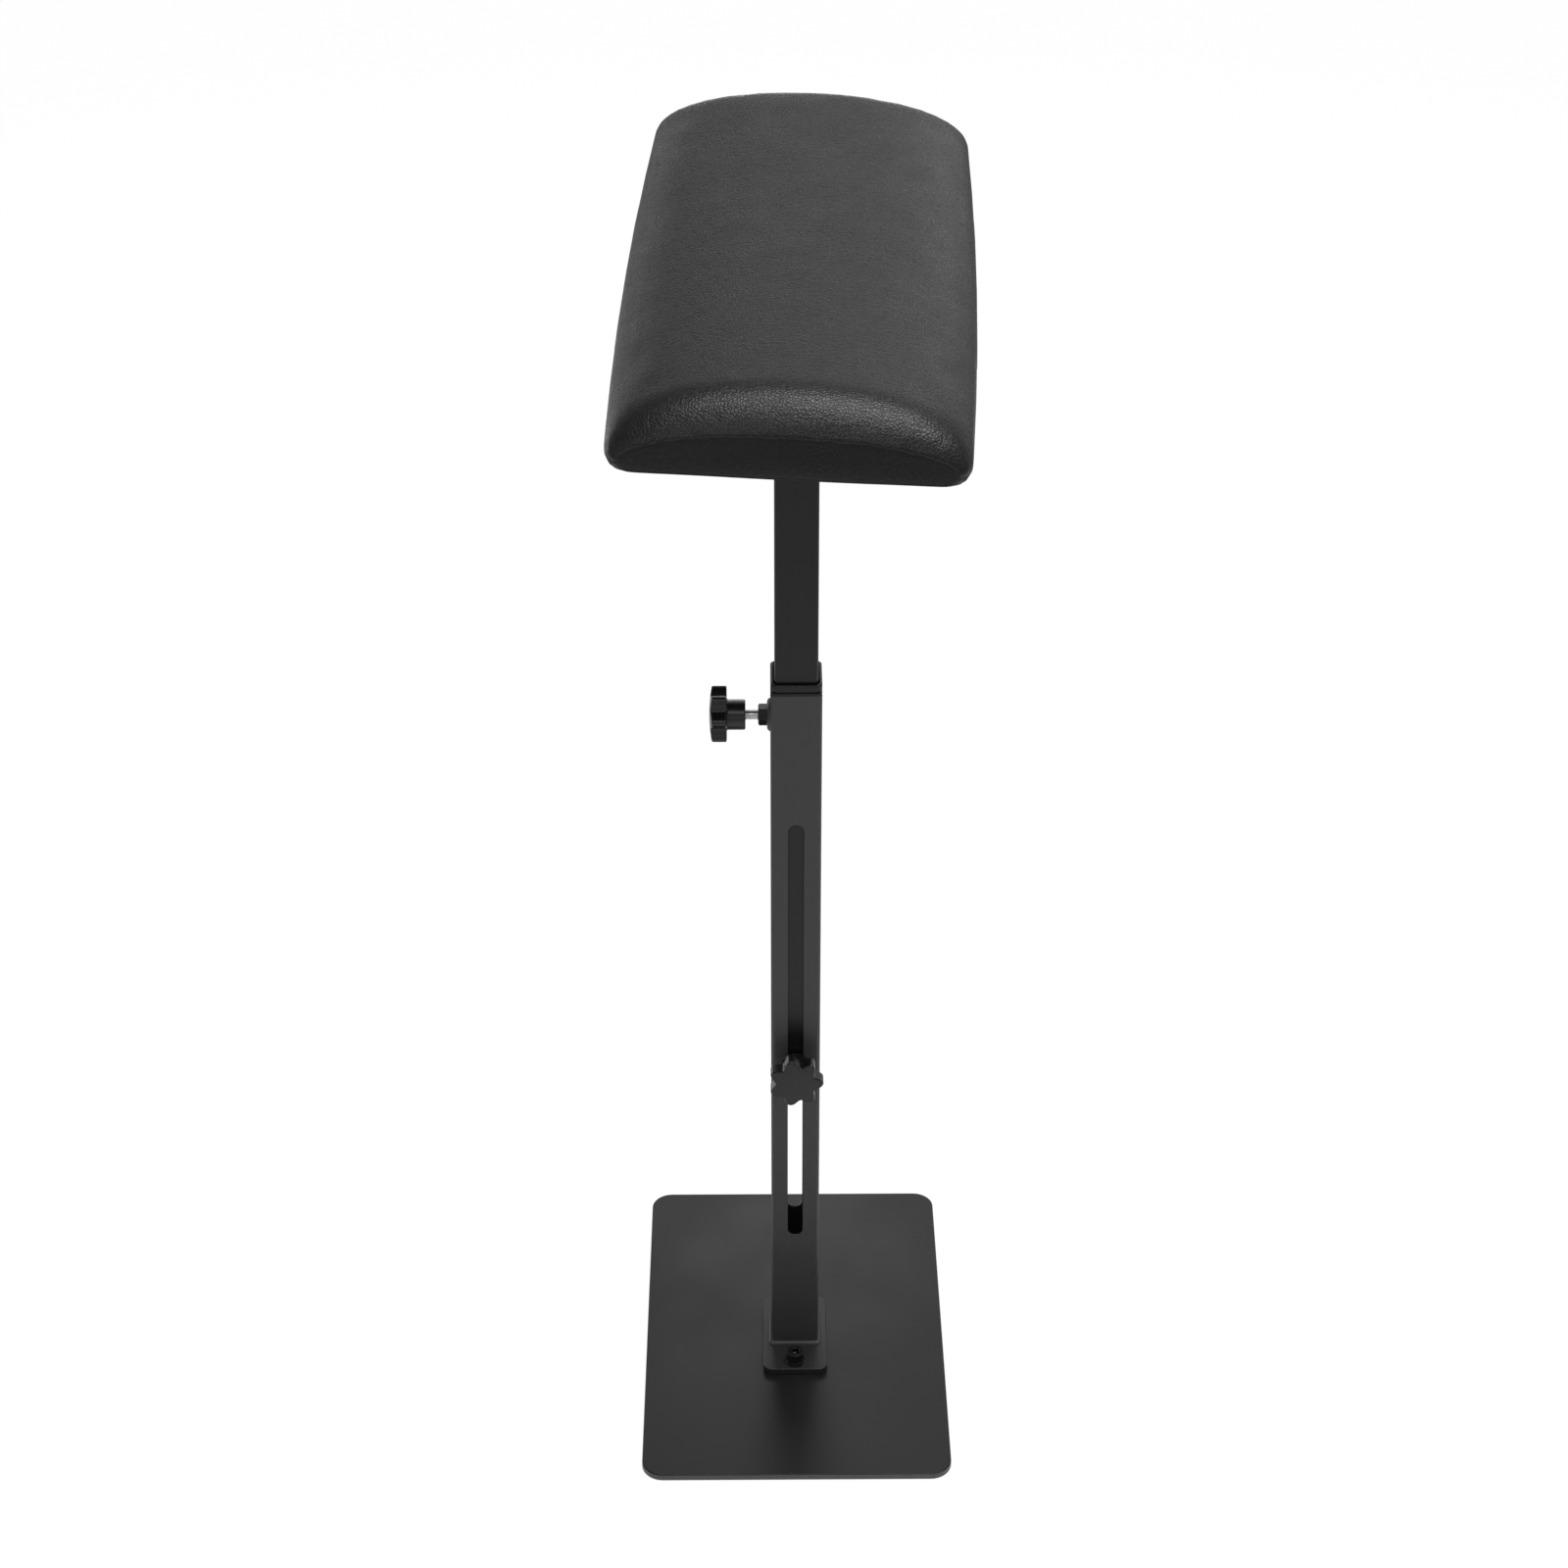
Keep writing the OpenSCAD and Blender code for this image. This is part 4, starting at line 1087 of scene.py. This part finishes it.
def outer_form(name, node, inset, voxel):
    """The closed outer form of a soft CAD solid in the pad's own axes, remeshed evenly and drawn in."""
    piece = bpy.data.objects.new(name, frame["nodes"][node].data.copy())
    bpy.context.scene.collection.objects.link(piece)
    piece.data.materials.clear()
    settle(piece, PAD.inverted())
    edit(piece)
    take_all()
    bpy.ops.mesh.remove_doubles(threshold=TINY)
    take_all()
    bpy.ops.mesh.convex_hull()
    leave()
    modify(piece, "REMESH", mode="VOXEL", voxel_size=voxel)
    roll_down(piece)
    modify(piece, "SMOOTH", factor=0.5, iterations=2)
    fatten(piece, -inset)
    return piece


def swell(piece, cap):
    """Puff a form up as cloth over foam, with no point moving further than cap. Its underside is
    tacked to the board."""
    mesh, frames = piece.data, 20
    rest = [v.co.copy() for v in mesh.vertices]
    tacked = piece.vertex_groups.new(name="tacked")
    tacked.add([v.index for v in mesh.vertices if v.co.z < 3 * MM], 1.0, "REPLACE")
    alone(piece)
    cloth = piece.modifiers.new("cloth", "CLOTH")
    configure(cloth.settings, quality=5, mass=0.3, tension_stiffness=25, compression_stiffness=25,
              bending_stiffness=2, use_pressure=True, uniform_pressure_force=4, vertex_group_mass="tacked")
    cloth.settings.effector_weights.gravity = 0
    configure(cloth.point_cache, frame_start=1, frame_end=frames)
    for step in range(1, frames + 1):
        bpy.context.scene.frame_set(step)
    bpy.ops.object.modifier_apply(modifier=cloth.name)
    bpy.context.scene.frame_set(1)
    mesh = piece.data
    puffed = [v.co.copy() for v in mesh.vertices]
    for vertex, start in zip(mesh.vertices, rest):
        vertex.co = start
    rise = [min(max((end - v.co).dot(v.normal), 0), cap) for end, v in zip(puffed, mesh.vertices)]
    for _ in range(12):
        share = [(r, 1) for r in rise]
        for edge in mesh.edges:
            a, b = edge.vertices
            share[a] = (share[a][0] + rise[b], share[a][1] + 1)
            share[b] = (share[b][0] + rise[a], share[b][1] + 1)
        rise = [total / count for total, count in share]
    moved = [v.co + v.normal * r for v, r in zip(mesh.vertices, rise)]
    for vertex, at in zip(mesh.vertices, moved):
        vertex.co = at
    piece.vertex_groups.clear()


def gather(piece, half_width, half_length):
    """Draw the leatherette into soft folds round the pad's lower corners."""
    reach, height, depth, folds = 17 * MM, 26 * MM, 0.55 * MM, 9
    for vertex in piece.data.vertices:
        at = vertex.co
        from_x = abs(at.x) - (half_width - reach)
        from_y = abs(at.y) - (half_length - reach)
        if from_x < 0 or from_y < 0 or at.z > height:
            continue
        angle = atan2(from_y, from_x)
        side = sin(2 * angle) ** 2
        low = 1 - min(max(at.z, 0) / height, 1)
        push = depth * side * low * cos(4 * folds * angle)
        vertex.co.x -= copysign(push * cos(angle), at.x)
        vertex.co.y -= copysign(push * sin(angle), at.y)
        if at.z < 2 * MM:
            vertex.co.z -= 0.5 * push


def crease(piece, depth):
    """Set the two flat end panels in, so that a crease runs under the roll of each end."""
    normals = [v.normal.copy() for v in piece.data.vertices]
    for vertex, normal in zip(piece.data.vertices, normals):
        start = 0.9 if normal.z > -0.05 else 0.2
        share = min(max((abs(normal.y) - start) / (0.98 - start), 0), 1)
        share = share * share * (3 - 2 * share)
        vertex.co.y -= copysign(depth * share, normal.y)


def model_pad_cover():
    low, high = box_in(PAD, "pad_cover")
    inset, fold = 0.9 * MM, 20 * MM
    cover = outer_form("leatherette_cover", "pad_cover", inset, 4 * MM)
    swell(cover, 1.4 * MM)
    modify(cover, "SUBSURF", levels=1, render_levels=1)
    crease(cover, 1.9 * MM)
    gather(cover, (high.x - low.x) / 2, (high.y - low.y) / 2)
    span = box_in(PAD, "pad_board")[1] - Vector((fold, fold, 0))
    edit(cover)
    for axis, way in enumerate((Vector((1, 0, 0)), Vector((0, 1, 0)))):
        for side in (-1, 1):
            choose(cover, "FACE", lambda f: f.normal.z < -0.8)
            bpy.ops.mesh.bisect(plane_co=way * side * span[axis], plane_no=way)
    choose(cover, "FACE", lambda f: f.normal.z < -0.8 and abs(f.calc_center_median().x) < span.x
           and abs(f.calc_center_median().y) < span.y)
    bpy.ops.mesh.delete(type="FACE")
    leave()
    modify(cover, "SOLIDIFY", thickness=1.2 * MM, offset=-1)
    alone(cover)
    bpy.ops.object.shade_smooth()
    fit(cover, PAD, "pad", pad_leather, "pad_cover")
    return cover


def model_pad_foam():
    block = outer_form("foam_core", "pad_foam", 4 * MM, 6 * MM)
    low, high = box_in(PAD, "pad_board")
    room = Vector((0.3, 0.3, 0.3)) * MM
    low.z = -9.7 * MM
    cut(block, slab("hollow", low - room, high + room, 12 * MM))
    alone(block)
    bpy.ops.object.shade_smooth_by_angle(angle=radians(50))
    fit(block, PAD, "pad", pad_foam_grey, "pad_foam")


def model_dust_cover():
    low, high = box_in(PAD, "dust_cover")
    lap, step, rise = 11.5 * MM, 2 * MM, 0.9 * MM
    cloth = pane("dust_cloth", high.x - low.x, high.y - low.y, (0, 0, low.z + 0.6 * MM))
    edit(cloth)
    take_all()
    bpy.ops.mesh.bevel(offset=12 * MM, segments=6, affect="VERTICES")
    bpy.ops.mesh.select_mode(type="FACE")
    take_all()
    bpy.ops.mesh.inset(thickness=lap)
    bpy.ops.mesh.inset(thickness=step)
    bpy.ops.transform.translate(value=(0, 0, rise))
    leave()
    modify(cloth, "SOLIDIFY", thickness=0.4 * MM, offset=0)
    smooth(outward(cloth), radians(50))
    fit(cloth, PAD, "pad", under_cloth, "dust_cover")


def model_staples():
    """Staples round the edge of the dust cloth, each a little out of line."""
    chance = random.Random(7)
    low, high = box_in(PAD, "dust_cover")
    half, wire, from_edge, spacing = 4.6 * MM, 0.55 * MM, 5 * MM, 39 * MM
    first = channel("dust_cloth_staples", half, 0.9 * MM, low.z - 0.1 * MM, low.z + 4 * MM, wire, 0.7 * MM)
    soften(first, 0.1 * MM, 1)
    places = []
    for axis in (0, 1):
        run = (high[axis] - low[axis]) / 2 - 16 * MM
        count = round(2 * run / spacing)
        for side in (-1, 1):
            for i in range(count + 1):
                at = Vector((0, 0, 0))
                at[axis] = -run + 2 * run * i / count + chance.uniform(-1.5, 1.5) * MM
                at[1 - axis] = side * (high[1 - axis] - from_edge + chance.uniform(-0.8, 0.8) * MM)
                turn = pi / 2 * axis + radians(chance.uniform(-9, 9))
                places.append(Matrix.Translation(at) @ Matrix.Rotation(turn, 4, "Z"))
    fit(copies(first, places), PAD, "pad", bright_zinc)


# Room, lights and camera

def build_room():
    """Pale floor that keeps the shadow, and a white surround."""
    deselect()
    bpy.ops.mesh.primitive_plane_add(size=60, location=(0, 0, 0))
    floor = named("studio_floor")
    made, nodes = plain("studio floor", grey(0.86), 0.9, Specular_IOR_Level=0.0)
    path, straight = nodes.rays()
    white = nodes.add("ShaderNodeEmission", {"Color": (1, 1, 1, 1), "Strength": 1.07})
    spread = nodes.add("ShaderNodeVectorMath", operation="LENGTH")
    nodes.wire(nodes.where(), spread.inputs[0])
    near = nodes.mapped(spread.outputs["Value"], 1.5, 3.0, 0.33, 0.03)
    share = nodes.plus(nodes.times(straight, 0.9), nodes.times(path["Is Glossy Ray"], near))
    mix = nodes.add("ShaderNodeMixShader")
    nodes.wire(share, mix.inputs["Fac"])
    nodes.wire(nodes.shader.outputs["BSDF"], mix.inputs[1])
    nodes.wire(white.outputs["Emission"], mix.inputs[2])
    nodes.wire(mix.outputs["Shader"], nodes.tree.nodes["Material Output"].inputs["Surface"])
    floor.data.materials.append(made)

    world = bpy.data.worlds.new("studio")
    bpy.context.scene.world = world
    world.use_nodes = True
    nodes = Nodes(world.node_tree)
    background = nodes.tree.nodes["Background"]
    path, straight = nodes.rays()
    glossy = path["Is Glossy Ray"]
    aim = nodes.add("ShaderNodeSeparateXYZ")
    nodes.wire(nodes.add("ShaderNodeTexCoord").outputs["Generated"], aim.inputs["Vector"])
    reflected = nodes.mapped(aim.outputs["Z"], 0.1, 0.5, 1.0, 0.15)
    others = nodes.plus(nodes.times(glossy, -1.0), 1.0)
    strength = nodes.plus(nodes.times(others, 0.25), nodes.times(glossy, reflected))
    background.inputs["Color"].default_value = (1, 1, 1, 1)
    nodes.wire(nodes.plus(strength, straight, "MAXIMUM"), background.inputs["Strength"])


def softbox(name, at, aim, width, height, power):
    """Rectangular studio lamp that points at a place."""
    deselect()
    bpy.ops.object.light_add(type="AREA", location=at)
    lamp = bpy.context.active_object
    lamp.name = name
    configure(lamp.data, shape="RECTANGLE", size=width, size_y=height, energy=power)
    lamp.rotation_euler = (Vector(aim) - Vector(at)).to_track_quat("-Z", "Y").to_euler()


def build_lights():
    softbox("back softbox", (0.38, 2.3, 2.45), (0.0, 0.1, 0.8), 1.8, 1.2, 6.1)
    softbox("back right softbox", (1.3, 2.2, 2.15), (0.05, 0.0, 0.95), 0.8, 0.9, 3)
    softbox("low rear softbox", (0.0, 1.25, 0.88), (0.0, 0.1, 0.0), 0.4, 0.24, 1.0)
    softbox("overhead softbox", (0.4, -0.23, 2.5), (0.12, -0.25, 0.95), 0.8, 1.55, 43)
    softbox("front top softbox", (-0.1, -1.75, 2.45), (0, -0.25, 0.9), 1.6, 0.5, 9)
    softbox("left rear strip", (-1.6, 1.5, 0.6), (0, -0.05, 0.4), 0.5, 1.1, 6)
    softbox("front left softbox", (-1.5, -1.9, 1.9), (0, 0, 0.5), 0.9, 0.9, 3.5)


def build_camera():
    bpy.ops.object.camera_add(location=(-0.0252, -2.0784, 1.8156),
                              rotation=(radians(58.53), 0, radians(-0.45)))
    camera = bpy.context.active_object
    camera.name = "photo camera"
    configure(camera.data, lens=75, sensor_width=36, clip_end=100)
    bpy.context.scene.camera = camera


build_camera()
build_room()
build_lights()
model_base()
model_foot_screws()
model_foot_washers()
model_outer_tube()
model_bush()
model_mast()
model_foot_plug()
model_knobs()
model_nuts()
model_head()
model_swivel()
model_yoke()
model_pad_plate()
model_pad_screws()
model_tee_nuts()
model_board()
model_pad_foam()
leather = model_pad_cover()
model_dust_cover()
model_staples()

bpy.context.scene.view_settings.view_transform = "Standard"
